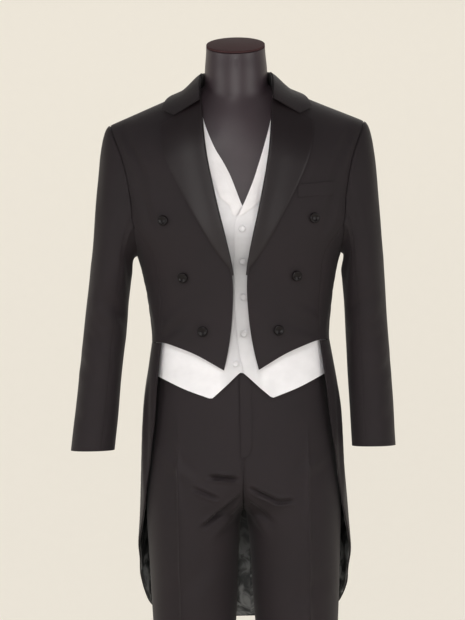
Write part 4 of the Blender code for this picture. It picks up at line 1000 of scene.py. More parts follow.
def coat_lapel(puff):
    """The lapel rolls over its edge from inside the coat, then lies on the chest."""
    t, v = grid("coat lapel")
    part = np.clip((t - LAPEL_WRAP) / (1 - LAPEL_WRAP), 0, 1)
    z = lerp(LAPEL_FOOT, lerp(GORGE_INNER_Z, GORGE_TIP_Z, part), v)
    edge = read(COAT_EDGE, "x", z)
    tip = lerp(edge + LAPEL_LEAST_WIDTH, read(LAPEL, "x", z), smooth((z - LAPEL_FOOT) / LAPEL_START))
    x = lerp(edge, tip, part)
    puff = puff * lerp(LAPEL_FLAT_SHARE, 1.0, smooth((z - LAPEL_FOOT) / LAPEL_FLAT_REACH))
    low = COAT_OUT - COAT_WALL
    high = LAPEL_OUT + TRIM_WALL + puff
    rolled = t < LAPEL_WRAP
    roll = np.clip(1 - t / LAPEL_WRAP, 0, 1) * math.pi
    radius = (high - low) / 2
    x = x - np.where(rolled, np.sin(roll) * radius * LAPEL_ROLL_SHARE, 0)
    lying = LAPEL_OUT + TRIM_WALL + puff * np.exp(-((x - edge) / LAPEL_ROLL_WIDTH) ** 2)
    lying = lying + LAPEL_BELLY * smooth((x - edge) / LAPEL_BELLY_START) * np.sin(math.pi * v)
    out = np.where(rolled, (high + low) / 2 + radius * np.cos(roll), lying)
    base = front_at(x, z, out)
    return base, edge_turn(base, "coat lapel") * (t > 0.5)


def gorge_height(x):
    """Height of the lapel's top edge at a distance across."""
    inner = read(COAT_EDGE, "x", GORGE_INNER_Z)
    outer = read(LAPEL, "x", GORGE_TIP_Z)
    return lerp(GORGE_INNER_Z, GORGE_TIP_Z, (x - inner) / (outer - inner))


def collar_points():
    """From the stand's foot inside, up over the fold and down the leaf to its edge."""
    half = 64
    profile = 44
    turn_start = 0.22
    turn_end = 0.38
    shares = crowd(half, 0.4)
    shares = np.concatenate([shares, shares[-2::-1]])
    hands = np.concatenate([np.ones(half + 1), -np.ones(half)])
    share, part = np.meshgrid(shares, np.linspace(0, 1, profile + 1), indexing="ij")
    row = {name: read(COLLAR, name, share) for name in COLLAR_COLUMNS[1:]}
    under = LAPEL_OUT + COLLAR_LIFT
    above = under + TRIM_WALL

    leaf = np.clip((part - turn_end) / (1 - turn_end), 0, 1)
    x = lerp(row["neck_x"], row["edge_x"], leaf)
    fall = lerp(row["neck_fall"], row["edge_fall"], leaf)
    corner_x = lerp(row["neck_x"], row["edge_x"], COLLAR_CORNER)
    end = gorge_height(np.minimum(x, corner_x)) + COLLAR_END_GAP
    end = lerp(end, COLLAR_TIP_Z, np.clip((leaf - COLLAR_CORNER) / (1 - COLLAR_CORNER), 0, 1))
    drop = np.maximum(shoulder_line(x, above) - end, 0.001)
    fall = lerp(-np.sqrt(drop), fall, np.clip(share / COLLAR_END_SHARE, 0, 1))
    lying = over_shoulder(x, fall, above)

    neck = over_shoulder(row["neck_x"], row["neck_fall"], above)
    foot = over_shoulder(row["neck_x"], row["neck_fall"], COAT_OUT - COAT_WALL - TRIM_WALL)
    foot[..., 2] += COAT_WALL + 2 * LAY_GAP + COLLAR_LIFT
    fold = place_at(row["fold_x"], row["fold_y"], row["fold_z"])
    outward = neck - foot
    outward = outward / np.linalg.norm(outward, axis=-1, keepdims=True)
    radius = COLLAR_FOLD / 2
    bend = np.clip((part - turn_start) / (turn_end - turn_start), 0, 1) * math.pi
    stand = lerp(foot, fold, np.clip(part / turn_start, 0, 1)[..., None])
    over = fold + outward * (radius * (1 - np.cos(bend)))[..., None]
    over[..., 2] += radius * np.sin(bend)
    rolled = fold + outward * 2 * radius - neck
    landing = (1 - smooth(leaf / COLLAR_LANDING))[..., None]
    falling = lying + rolled * landing

    points = np.where((part < turn_start)[..., None], stand, over)
    points = np.where((part > turn_end)[..., None], falling, points)
    points[..., 0] *= hands[:, None]
    return unlifted(points[:, ::-1])


def breast_welt():
    t, v = grid("breast welt")
    x = lerp(WELT_INNER[0], WELT_OUTER[0], t)
    z = lerp(WELT_INNER[1], WELT_OUTER[1], t) + WELT_HEIGHT * v
    base = front_at(x, z, LAPEL_OUT + WELT_LIFT)
    return base, edge_turn(base, "breast welt")


def lap_rise(x):
    """Extra height of the left front where it laps over the right one."""
    return LAP_RISE * smooth((LAP_START - x) / (LAP_START - LAP_FULL))


def vest_edge(z, hand):
    """Distance across of a front's edge, towards its own side of the body."""
    return read(VEST_EDGE, "left", z) if hand > 0 else -read(VEST_EDGE, "right", z)


def button_pull(x, z, hand):
    """How much the cloth is drawn in round the waistcoat's buttons."""
    pull = np.zeros(x.shape)
    across = np.exp(-(((x - VEST_BUTTON_X * hand) / BUTTON_PULL_WIDTH) ** 2))
    for height in VEST_BUTTONS:
        pull += np.exp(-(((z - height) / BUTTON_PULL_HEIGHT) ** 2)) * across
    return BUTTON_PULL * pull


def vest_front(hand, strength):
    t, v = grid("vest front")

    def angle(z, share):
        return lerp(angle_at(vest_edge(z, hand), z, VEST_OUT), read(VEST_ARM, "angle", z), share)

    def across(z):
        return around(angle(z, t[0]), z, VEST_OUT)[..., 0]

    low = height_where(*VEST_HEM_LIMITS, lambda z: read(VEST_HEM, "z", np.abs(across(z))) - z)
    high = height_where(*SHOULDER_LIMITS, lambda z: shoulder_line(across(z), VEST_OUT) - z)
    z = crowned(low, high, v)
    turn = angle(z, t)
    base = around(turn, z, VEST_OUT)
    x = base[..., 0]
    if hand > 0:
        lapped = around(angle_at(x, z, VEST_OUT), z, VEST_OUT + lap_rise(x))
        base = np.where((turn < VEST_LAP_TURN)[..., None], lapped, base)
    height = (swell("vest", hand, x, z) - button_pull(x, z, hand)) * strength
    return base, height * below(z, VEST_SMOOTH_Z, VEST_SMOOTH_REACH) + edge_turn(base, "vest front")


def vest_lapel(hand):
    t, v = grid("vest lapel")
    z = lerp(VEST_LAPEL_FOOT, VEST_LAPEL_TOP, v)
    edge = vest_edge(z, hand)
    if hand < 0:
        edge = np.maximum(edge, VEST_LAPEL_GAP - vest_edge(z, 1))
    spread = VEST_LAPEL_TIP_SHARE + (z - VEST_LAPEL_FOOT) / VEST_LAPEL_SPREAD
    x = edge + VEST_LAPEL_WIDTH * np.minimum(1.0, spread) * t
    lift = lap_rise(x) if hand > 0 else 0.0
    base = front_at(x, z, VEST_LAPEL_OUT + lift)
    return base, VEST_LAPEL_BELLY * np.sin(math.pi * t) + edge_turn(base, "vest lapel")


def vest_back():
    t, v = grid("vest back")
    hand = np.where(t <= 0.5, 1.0, -1.0)
    part = 1 - np.abs(2 * t - 1)

    def angle(z, share):
        even = lerp(180 - read(VEST_ARM, "angle", z), 180, share)
        return toward_neck(1 - share, z, VEST_OUT, even, VEST_BACK_REACH)

    high = shoulder_height(lambda z: angle(z, part[0]), VEST_OUT, back_neck)
    z = crowned(VEST_BACK_HEM, high, v)
    base = around(angle(z, part), z, VEST_OUT)
    base[..., 0] *= hand
    return base, edge_turn(base, "vest back")


def leg_sizes(z, out=0.0):
    """Middle, half width, front depth and back depth of one leg at a height, moved out."""
    inner = read(TROUSERS, "inner", z) - out
    outer = read(TROUSERS, "outer", z) + out
    front = read(TROUSERS, "front", z) + out
    back = read(TROUSERS, "back", z) + out
    return (inner + outer) / 2, (outer - inner) / 2, front, back


def leg_start(z):
    """Angle where a leg's section begins: at the inseam, or at the centre plane above it."""
    middle, half, _, _ = leg_sizes(z)
    share = (middle - CENTRE_HALF_GAP) / half
    turned = -np.degrees(np.arcsin(power(np.clip(share, -1, 1), read(TROUSERS, "round", z) / 2)))
    return np.where(share >= 1, -90.0, turned)


def leg_point(angle, z, face):
    middle, half, front, back = leg_sizes(z)
    turn = np.radians(angle)
    roundness = read(TROUSERS, "round", z)
    x = middle + half * power(np.sin(turn), 2 / roundness)
    depth = (front if face < 0 else back) * np.abs(np.cos(turn)) ** (2 / roundness)
    return place_at(np.maximum(x, CENTRE_HALF_GAP), face * np.maximum(depth, THINNEST), z)


def pressed_crease(angle, crease, z):
    """The pressed crease: a fine ridge down the middle of a leg."""
    away = np.abs(angle - crease) * math.pi / 180 * leg_sizes(z)[1]
    return CREASE_RISE * below(z, CREASE_TOP, CREASE_FADE) * np.exp(-away / CREASE_WIDTH)


def crease_angle(z):
    """The front crease's angle: on one turn low down, and straight up above the thigh."""
    middle, half = leg_sizes(z)[:2]
    straight = leg_point(np.array([CREASE_TURN]), np.array([CREASE_BEND_Z]), -1)[0, 0]
    share = np.clip((straight - middle) / half, 0.01, 0.95)
    above = np.degrees(np.arcsin(share ** (read(TROUSERS, "round", z) / 2)))
    return np.maximum(np.where(z > CREASE_BEND_Z, above, CREASE_TURN), leg_start(z) + CREASE_FROM_EDGE)


def trouser_front(hand, strength):
    """One front, whose rows stand closer at the crotch, and columns at the crease."""
    t, v = grid("trouser front")
    wave = np.sin(2 * math.pi * (v - CROTCH_SHARE)) + math.sin(2 * math.pi * CROTCH_SHARE)
    z = lerp(TROUSER_FOOT, TROUSER_TOP, v - CROTCH_CROWDING * wave)
    crease = crease_angle(z)
    near = 1 - (1 - np.minimum(t * 2, 1)) ** CREASE_CROWDING
    beyond = np.maximum(t * 2 - 1, 0) ** CREASE_CROWDING
    angle = np.where(t <= 0.5, lerp(leg_start(z), crease, near), lerp(crease, 90, beyond))
    base = leg_point(angle, z, -1)
    x = base[..., 0]
    inward = np.minimum(1.0, np.minimum(t, 1 - t) * TROUSER_STILL_EDGE)
    folds = fold_lift(TROUSER_FRONT_FOLDS, hand, x, z) * np.minimum(1.0, inward * 2)
    height = (folds + swell("trouser front", hand, x, z) * inward) * strength
    height = (height + pressed_crease(angle, crease, z)) * below(z, TROUSER_TOP, TROUSER_SMOOTH_REACH)
    return base, height + edge_turn(base, "trouser front")


def trouser_back(hand, strength):
    t, v = grid("trouser back")
    t = 1 - t
    z = lerp(TROUSER_FOOT, TROUSER_TOP, v)
    start = leg_start(z)
    angle = lerp(start, 90, t)
    base = leg_point(angle, z, 1)
    x = base[..., 0]
    inward = np.minimum(1.0, np.minimum(t, 1 - t) * TROUSER_STILL_EDGE)
    folds = fold_lift(TROUSER_BACK_FOLDS, hand, x, z) * inward
    height = (folds + swell("trouser back", hand, x, z) * inward) * strength
    height = height + pressed_crease(angle, lerp(start, 90, 0.5), z)
    return base, height * below(z, TROUSER_TOP, TROUSER_SMOOTH_REACH) + edge_turn(base, "trouser back")


def waistband():
    t, v = grid("waistband")
    turn = 360 * t
    z = lerp(WAISTBAND_BOTTOM, WAISTBAND_TOP, v)
    base = around(np.minimum(turn, 360 - turn), z, WAISTBAND_OUT)
    base[..., 0] *= np.where(turn <= 180, 1.0, -1.0)
    return unlifted(base)


def trouser_fly():
    t, v = grid("trouser fly")
    z = lerp(FLY_BOTTOM, FLY_TOP, v)
    curve = np.minimum(1.0, (z - FLY_BOTTOM) / FLY_CORNER)
    reach = lerp(FLY_FOOT_SHARE, 1.0, np.sqrt(1 - (1 - curve) ** 2))
    x = lerp(FLY_INNER, FLY_OUTER, reach * t)
    middle, half, front, _ = leg_sizes(z, LAY_GAP + FLY_WALL)
    share = np.minimum(1.0, np.abs((np.abs(x) - middle) / half))
    roundness = read(TROUSERS, "round", z)
    depth = front * (1 - share ** roundness) ** (1 / roundness)
    base = place_at(x, -depth, z)
    return base, edge_turn(base, "trouser fly")


def form_points():
    """Rings of the form, where torso and neck run smoothly into each other."""
    t, v = grid("form")
    turn = 2 * math.pi * t
    z = lerp(FORM_BOTTOM, NECK_TOP, v)
    reach = (SHOULDER_TOP - z) / SHOULDER_SLOPE
    half = np.minimum(read(BODY, "form_half", z), np.maximum(reach, 0.002))
    tip = np.maximum(0.0, z - NECK_BEND) / (NECK_TOP - NECK_BEND)
    neck = read(NECK, "radius", z)
    x = half * power(np.sin(turn), 2 / BODY_ROUND)
    depth = np.where(np.cos(turn) > 0, read(BODY, "front", z), read(BODY, "back", z))
    depth = depth * closing(shoulder_line(x, 0.0) - z)
    torso = np.stack([x, -depth * power(np.cos(turn), 2 / BODY_ROUND)], axis=-1)
    length = np.linalg.norm(torso, axis=-1)
    size = (length ** NECK_BLEND + neck ** NECK_BLEND) ** (1 / NECK_BLEND)
    share = np.clip((length / neck - NECK_JOIN_SHARE) / (1 - NECK_JOIN_SHARE), 0, 1)[..., None]
    heading = np.stack([np.sin(turn), -np.cos(turn)], axis=-1) * (1 - share)
    heading = heading + torso / np.maximum(length, 1e-9)[..., None] * share
    heading = heading / np.linalg.norm(heading, axis=-1, keepdims=True)
    spot = heading * size[..., None]
    tilt = spot[..., 1] * math.tan(math.radians(NECK_TILT)) * tip
    return place_at(spot[..., 0], spot[..., 1], z + tilt)


def on_surface(x, z, out_at):
    """A button's place on a layer's front: local Z points out of the cloth."""
    def at(across, height):
        return Vector(front_at(np.array(across), np.array(height), np.array(out_at(across))))

    across = (at(x + BUTTON_STEP, z) - at(x - BUTTON_STEP, z)).normalized()
    upward = (at(x, z + BUTTON_STEP) - at(x, z - BUTTON_STEP)).normalized()
    normal = across.cross(upward).normalized()
    basis = Matrix((across, normal.cross(across), normal)).transposed().to_4x4()
    basis.translation = at(x, z) + normal * BUTTON_GAP
    return basis


class Surface:
    """A procedural material under construction: nodes are added and joined by short calls."""

    def __init__(self, name, roughness, specular=0.4, metallic=0.0):
        self.made = bpy.data.materials.new(name)
        self.made.use_nodes = True
        self.tree = self.made.node_tree
        self.shader = self.tree.nodes["Principled BSDF"]
        self.shader.inputs["Roughness"].default_value = roughness
        self.shader.inputs["Specular IOR Level"].default_value = specular
        self.shader.inputs["Metallic"].default_value = metallic
        self.places = self.tree.nodes.new("ShaderNodeTexCoord")
        self.bumps = None

    def node(self, kind, **values):
        made = self.tree.nodes.new("ShaderNode" + kind)
        for name, value in values.items():
            if hasattr(made, name):
                setattr(made, name, value)
            else:
                made.inputs[name.replace("_", " ")].default_value = value
        return made

    def join(self, source, target):
        self.tree.links.new(source, target)

    def scaled(self, space, scale):
        mapping = self.node("Mapping")
        mapping.inputs["Scale"].default_value = scale
        self.join(self.places.outputs[space], mapping.inputs["Vector"])
        return mapping.outputs["Vector"]

    def noise(self, space, scale, detail=3.0, roughness=0.55, distortion=0.0):
        made = self.node("TexNoise", Scale=1.0, Detail=detail, Roughness=roughness, Distortion=distortion)
        self.join(self.scaled(space, scale), made.inputs["Vector"])
        return made.outputs["Fac"]

    def coordinate(self, axis):
        apart = self.node("SeparateXYZ")
        self.join(self.places.outputs["Object"], apart.inputs["Vector"])
        return apart.outputs[axis]

    def within(self, value, span):
        made = self.node("MapRange", From_Min=span[0], From_Max=span[1])
        self.join(value, made.inputs["Value"])
        return made.outputs["Result"]

    def level(self, span):
        """Height up the object, 0 at the span's foot and 1 at its top."""
        return self.within(self.coordinate("Z"), span)

    def beside(self, span):
        """Distance from the middle plane, 0 at the span's near end and 1 at its far end."""
        away = self.node("Math", operation="ABSOLUTE")
        self.join(self.coordinate("X"), away.inputs[0])
        return self.within(away.outputs["Value"], span)

    def ramp(self, value, stops):
        made = self.node("ValToRGB")
        elements = made.color_ramp.elements
        while len(elements) < len(stops):
            elements.new(0.5)
        for element, (place, colour) in zip(elements, stops):
            element.position = place
            element.color = (*colour, 1.0)
        self.join(value, made.inputs["Fac"])
        return made.outputs["Color"]

    def greys(self, value, *stops):
        """Tones that a colour is multiplied by."""
        return self.ramp(value, [(place, (tone, tone, tone)) for place, tone in stops])

    def shades(self, value, colour, *stops):
        """Darker and brighter shades of one colour."""
        return self.ramp(value, [(place, shade(colour, factor)) for place, factor in stops])

    def mixed(self, kind, factor, first, second):
        made = self.node("Mix", data_type="RGBA", blend_type=kind)
        made.inputs[0].default_value = factor
        self.join(first, made.inputs[6])
        self.join(second, made.inputs[7])
        return made.outputs[2]

    def bump(self, value, strength, distance):
        made = self.node("Bump", Strength=strength, Distance=distance)
        self.join(value, made.inputs["Height"])
        if self.bumps:
            self.join(self.bumps, made.inputs["Normal"])
        self.bumps = made.outputs["Normal"]
        self.join(self.bumps, self.shader.inputs["Normal"])

    def colour(self, source):
        self.join(source, self.shader.inputs["Base Color"])

    def rough(self, value, low, high):
        made = self.node("MapRange", To_Min=low, To_Max=high)
        self.join(value, made.inputs["Value"])
        self.join(made.outputs["Result"], self.shader.inputs["Roughness"])


def shade(colour, factor):
    return tuple(min(1.0, channel * factor) for channel in colour)


def twill(surface, pitch, strength):
    """The slanting ribs of a twill weave, from the cloth's own UV map."""
    wave = surface.node("TexWave", Scale=1.0, Distortion=0.6, Detail=1.0)
    wave.inputs["Detail Scale"].default_value = 2.0
    mapping = surface.scaled("UV", (TWILL_SCALE / pitch, TWILL_SCALE / pitch, 1.0))
    mapping.node.inputs["Rotation"].default_value = (0, 0, math.radians(TWILL_TURN))
    surface.join(mapping, wave.inputs["Vector"])
    surface.bump(wave.outputs["Fac"], strength, 0.00025)
    return wave.outputs["Fac"]


def wool_cloth(name, colour, pitch):
    made = Surface(name, roughness=0.74, specular=0.34)
    ribs = twill(made, pitch, 0.35)
    fuzz = made.noise("Object", (420, 420, 420), detail=4.0)
    worn = made.noise("Object", (9, 9, 9), detail=3.0)
    thread = made.noise("UV", (900, 60, 1), detail=2.0)
    tone = made.shades(fuzz, colour, (0.25, 0.80), (0.75, 1.28))
    broad = made.ramp(worn, ((0.3, (0.86, 0.86, 0.88)), (0.7, (1.10, 1.08, 1.08))))
    line = made.greys(ribs, (0.0, 0.90), (1.0, 1.06))
    tone = made.mixed("MULTIPLY", 1.0, tone, broad)
    made.colour(made.mixed("MULTIPLY", 0.8, tone, line))
    made.bump(thread, strength=0.15, distance=0.0003)
    made.bump(fuzz, strength=0.20, distance=0.0004)
    made.shader.inputs["Sheen Weight"].default_value = 0.05
    made.shader.inputs["Sheen Roughness"].default_value = 0.45
    made.rough(fuzz, 0.62, 0.80)
    return made.made


def satin_cloth(name, colour, roughness, specular, streak=0.10, sheen=0.0):
    made = Surface(name, roughness, specular)
    floats = made.noise("UV", (1400, 40, 1), detail=2.0, roughness=0.5)
    slow = made.noise("Object", (22, 22, 30), detail=3.0)
    tone = made.shades(floats, colour, (0.3, 1 - streak), (0.7, 1 + streak))
    broad = made.greys(slow, (0.3, 0.93), (0.7, 1.05))
    made.colour(made.mixed("MULTIPLY", 1.0, tone, broad))
    made.bump(floats, strength=0.06, distance=0.0002)
    made.bump(slow, strength=0.10, distance=0.0009)
    made.rough(slow, roughness * 0.90, roughness * 1.12)
    made.shader.inputs["Sheen Weight"].default_value = sheen
    return made.made


def satin_with_painted_shade(name, colour):
    """White satin with painted shade: greyer between the coat's edges than on the band below them."""
    made = Surface(name, roughness=0.48, specular=0.4)
    floats = made.noise("UV", (1400, 40, 1), detail=2.0, roughness=0.5)
    slow = made.noise("Object", (22, 22, 30), detail=3.0)
    # Painted shade: near the middle the satin is drawn greyer, darkest part way up, as in the shadow of the
    # coat's fronts; further out it keeps its own colour.
    painted_strip_shade = made.shades(made.level(PAINTED_STRIP_LEVELS), colour, *PAINTED_STRIP_SHADES)
    tone = made.node("Mix", data_type="RGBA")
    made.join(made.beside(PAINTED_STRIP_SIDES), tone.inputs[0])
    made.join(painted_strip_shade, tone.inputs[6])
    tone.inputs[7].default_value = (*colour, 1.0)
    broad = made.greys(slow, (0.3, 0.94), (0.7, 1.04))
    made.colour(made.mixed("MULTIPLY", 1.0, tone.outputs[2], broad))
    made.bump(floats, strength=0.06, distance=0.0002)
    made.bump(slow, strength=0.14, distance=0.0010)
    made.rough(slow, 0.43, 0.54)
    made.shader.inputs["Sheen Weight"].default_value = 0.1
    return made.made


def figured_lining_with_painted_shade(name, ground, figure):
    """Satin lining with a woven scrolling figure, dull ground against brighter floats, with painted shade
    darkening its upper part.
    """
    made = Surface(name, roughness=0.42, specular=0.5)
    scroll = made.noise("UV", (42, 33, 1), detail=2.5, roughness=0.55, distortion=0.9)
    pattern = made.ramp(scroll, ((0.40, ground), (0.48, shade(figure, 0.30)), (0.54, shade(figure, 0.65)),
                                 (0.61, figure)))
    # Painted shade: the lining darkens up towards the crotch, where it lies deep between the legs and the
    # tails.
    fall = made.greys(made.level(PAINTED_LINING_LEVELS), *PAINTED_LINING_SHADES)
    weave = made.noise("UV", (1100, 300, 1), detail=2.0)
    thread = made.greys(weave, (0.3, 0.88), (0.7, 1.08))
    tone = made.mixed("MULTIPLY", 1.0, pattern, fall)
    made.colour(made.mixed("MULTIPLY", 1.0, tone, thread))
    made.rough(scroll, 0.30, 0.52)
    made.bump(scroll, strength=0.20, distance=0.0004)
    made.bump(weave, strength=0.10, distance=0.0002)
    return made.made


def form_shell(name, colour, roughness, specular):
    made = Surface(name, roughness, specular)
    grain = made.noise("Object", (900, 900, 900), detail=3.0)
    cloud = made.noise("Object", (14, 14, 14), detail=3.0)
    made.colour(made.shades(cloud, colour, (0.3, 0.90), (0.7, 1.12)))
    made.rough(cloud, roughness - 0.05, roughness + 0.05)
    made.bump(grain, strength=0.12, distance=0.0002)
    return made.made


def brushed_metal(name, colour):
    made = Surface(name, roughness=0.38, specular=0.5, metallic=0.9)
    brush = made.noise("Object", (30, 900, 30), detail=3.0)
    made.colour(made.shades(brush, colour, (0.3, 0.85), (0.7, 1.2)))
    made.rough(brush, 0.30, 0.46)
    made.bump(brush, strength=0.08, distance=0.0002)
    return made.made


def length_of(name, description, default):
    return FloatProperty(name=name, description=description, default=default, unit="LENGTH")


def colour_of(name, description, default):
    return FloatVectorProperty(
        name=name, description=description, subtype="COLOR", size=3, min=0, max=1, default=default)


class TuxedoSizes(bpy.types.PropertyGroup):
    """Sizes and strengths that change how the cloth lies."""

    fold_strength: FloatProperty(
        name="Fold strength", description="How deep the cloth's folds are", default=1.4, min=0.0, max=2.0)
    lapel_roll: length_of("Lapel roll", "How far the lapel stands up at its roll line", 0.0022)
    twill_pitch: length_of("Twill pitch", "Distance between the ribs of the wool twill", 0.0012)
    coat_button_radius: length_of("Coat button radius", "Radius of the covered coat buttons", 0.0100)
    coat_button_height: length_of("Coat button height", "Height of the coat buttons' domes", 0.0060)
    vest_button_radius: length_of(
        "Waistcoat button radius", "Radius of the waistcoat's covered buttons", 0.0065)
    vest_button_height: length_of(
        "Waistcoat button height", "Height of the waistcoat buttons' domes", 0.0040)


class TuxedoColours(bpy.types.PropertyGroup):
    """Colours of cloths, form and stand, as linear values."""

    wool: colour_of("Wool", "Matt worsted of coat and trousers", (0.0118, 0.0073, 0.0093))
    black_satin: colour_of("Black satin", "Lapels and coat buttons", (0.0105, 0.0064, 0.0078))
    lining_ground: colour_of("Lining ground", "Dark ground of the tails' lining", (0.034, 0.038, 0.040))
    lining_figure: colour_of("Lining figure", "Bright figure of the tails' lining", (0.470, 0.480, 0.480))
    vest_satin: colour_of("Waistcoat satin", "Waistcoat fronts and buttons", (0.84, 0.83, 0.86))
    vest_lapel: colour_of("Waistcoat lapel", "Waistcoat lapel satin", (0.81, 0.79, 0.81))
    shell: colour_of("Form shell", "Moulded plastic of the form", (0.044, 0.031, 0.037))
    cap: colour_of("Cap", "Flat cap of the form's neck", (0.060, 0.030, 0.032))
    metal: colour_of("Stand metal", "Base plate and posts", (0.12, 0.12, 0.12))


def sizes():
    return bpy.context.scene.tuxedo_sizes


def colours():
    return bpy.context.scene.tuxedo_colours


def shared(name, make):
    """A finish by name, made the first time that it is asked for."""
    return bpy.data.materials.get(name) or make(name)


def coat_wool():
    return shared("coat wool twill", lambda n: wool_cloth(n, colours().wool, sizes().twill_pitch))


def black_satin():
    colour = colours().black_satin
    return shared("black satin facing", lambda n: satin_cloth(n, colour, roughness=0.42, specular=0.34))


def button_satin():
    colour = shade(colours().black_satin, BUTTON_SHADE)
    return shared("black satin buttons", lambda n: satin_cloth(n, colour, roughness=0.25, specular=0.22))


# The waistcoat's satin, with painted shade between the coat's fronts; its back and buttons share it.
def vest_satin():
    return shared("waistcoat satin", lambda n: satin_with_painted_shade(n, colours().vest_satin))


def vest_lapel_satin():
    colour = colours().vest_lapel
    return shared("waistcoat lapel satin", lambda n: satin_cloth(
        n, colour, roughness=0.45, specular=0.4, streak=0.03, sheen=0.1))


def backdrop_paper():
    """Pale paper that glows a little; its back is clear, so that a camera behind it still sees the part."""
    paper = Surface("backdrop paper", roughness=0.95, specular=0.1)
    fine = paper.noise("Object", (40, 40, 40), detail=4.0)
    paper.colour(paper.shades(fine, FLOOR_COLOUR, (0.3, 0.495), (0.7, 0.505)))
    paper.shader.inputs["Emission Color"].default_value = (*FLOOR_COLOUR, 1.0)
    paper.shader.inputs["Emission Strength"].default_value = PAPER_GLOW
    side = paper.node("NewGeometry")
    clear = paper.node("BsdfTransparent")
    either = paper.node("MixShader")
    paper.join(side.outputs["Backfacing"], either.inputs[0])
    paper.join(paper.shader.outputs["BSDF"], either.inputs[1])
    paper.join(clear.outputs["BSDF"], either.inputs[2])
    paper.join(either.outputs["Shader"], paper.tree.nodes["Material Output"].inputs["Surface"])
    return paper.made


def backdrop_sweep():
    """A floor that curves up into a wall behind the form."""
    profile = [(SWEEP_FRONT, 0.0), (SWEEP_BEND, 0.0)]
    for step in range(1, SWEEP_STEPS + 1):
        turn = math.radians(90 * step / SWEEP_STEPS)
        y = SWEEP_BEND + SWEEP_RADIUS * math.sin(turn)
        profile.append((y, SWEEP_RADIUS - SWEEP_RADIUS * math.cos(turn)))
    profile.append((SWEEP_BEND + SWEEP_RADIUS, SWEEP_TOP))
    bm = bmesh.new()
    line = [bm.verts.new((-SWEEP_HALF_WIDTH, y, z)) for y, z in profile]
    edges = [bm.edges.new(pair) for pair in zip(line, line[1:])]
    wide = bmesh.ops.extrude_edge_only(bm, edges=edges)
    moved = [part for part in wide["geom"] if isinstance(part, bmesh.types.BMVert)]
    bmesh.ops.translate(bm, verts=moved, vec=(2 * SWEEP_HALF_WIDTH, 0, 0))
    bmesh.ops.recalc_face_normals(bm, faces=bm.faces)
    if sum(face.normal.z for face in bm.faces) < 0:
        bmesh.ops.reverse_faces(bm, faces=bm.faces)
    return bm


def studio_world():
    """Dim light from all round; the camera sees the paper's tone past its edges."""
    world = bpy.data.worlds.new("studio")
    world.use_nodes = True
    nodes, links = world.node_tree.nodes, world.node_tree.links
    nodes["Background"].inputs["Color"].default_value = WORLD_COLOUR
    nodes["Background"].inputs["Strength"].default_value = WORLD_STRENGTH
    seen = nodes.new("ShaderNodeBackground")
    seen.inputs["Color"].default_value = (*FLOOR_COLOUR, 1.0)
    path = nodes.new("ShaderNodeLightPath")
    either = nodes.new("ShaderNodeMixShader")
    links.new(path.outputs["Is Camera Ray"], either.inputs[0])
    links.new(nodes["Background"].outputs["Background"], either.inputs[1])
    links.new(seen.outputs["Background"], either.inputs[2])
    links.new(either.outputs["Shader"], nodes["World Output"].inputs["Surface"])
    return world


def studio_lamp(name, place, aim, size, watts, spread):
    lamp = bpy.data.lights.new(name, "AREA")
    lamp.shape = "SQUARE"
    lamp.size = size
    lamp.energy = watts
    lamp.spread = math.radians(spread)
    lamp.color = LAMP_COLOUR
    made = bpy.data.objects.new(name, lamp)
    made.location = place
    made.rotation_euler = (Vector(aim) - Vector(place)).to_track_quat("-Z", "Y").to_euler()
    return made


def photo_camera():
    """A far camera a little above the garment's middle, with the photo's slight roll."""
    rise = math.radians(CAMERA_RISE)
    target = Vector(CAMERA_AIM)
    lens = bpy.data.cameras.new("photo camera")
    lens.sensor_fit = "VERTICAL"
    lens.sensor_height = FILM_HEIGHT
    lens.lens = FILM_HEIGHT * CAMERA_DISTANCE / PHOTO_HEIGHT
    lens.clip_end = CAMERA_REACH
    camera = bpy.data.objects.new("photo camera", lens)
    camera.location = target + Vector((0, -math.cos(rise), math.sin(rise))) * CAMERA_DISTANCE
    look = (target - camera.location).to_track_quat("-Z", "Y").to_matrix().to_4x4()
    look = look @ Matrix.Rotation(math.radians(CAMERA_ROLL), 4, "Z")
    camera.rotation_euler = look.to_euler()
    return camera


class TUXEDO_OT_stage(bpy.types.Operator):
    """Set the pale floor and backdrop, the soft studio lights and the camera"""

    bl_idname = "tuxedo.stage"
    bl_label = "Stage"

    def execute(self, context):
        scene = context.scene
        finish_mesh("backdrop", backdrop_sweep(), backdrop_paper())
        scene.world = studio_world()
        for lamp in LAMPS:
            scene.collection.objects.link(studio_lamp(*lamp))
        scene.camera = photo_camera()
        scene.collection.objects.link(scene.camera)
        scene.view_settings.view_transform = "Standard"
        return {"FINISHED"}


def rounded_disc(radius, thickness, bevel, segments):
    """A disc that stands on the origin, with a rounded rim."""
    bm = bmesh.new()
    bmesh.ops.create_cone(
        bm, cap_ends=True, segments=segments, radius1=radius, radius2=radius, depth=thickness)
    rim = [edge for edge in bm.edges if edge.calc_face_angle() > 1.0]
    bmesh.ops.bevel(bm, geom=rim, offset=bevel, segments=4, profile=0.5, affect="EDGES", material=-1)
    bmesh.ops.translate(bm, verts=bm.verts, vec=(0, 0, thickness / 2))
    return bm


def hard_piece(name, bm, finish, node):
    made = finish_mesh(name, bm, finish)
    made.data.set_sharp_from_angle(angle=math.radians(SHARP_ANGLE))
    return ridden(made, node)


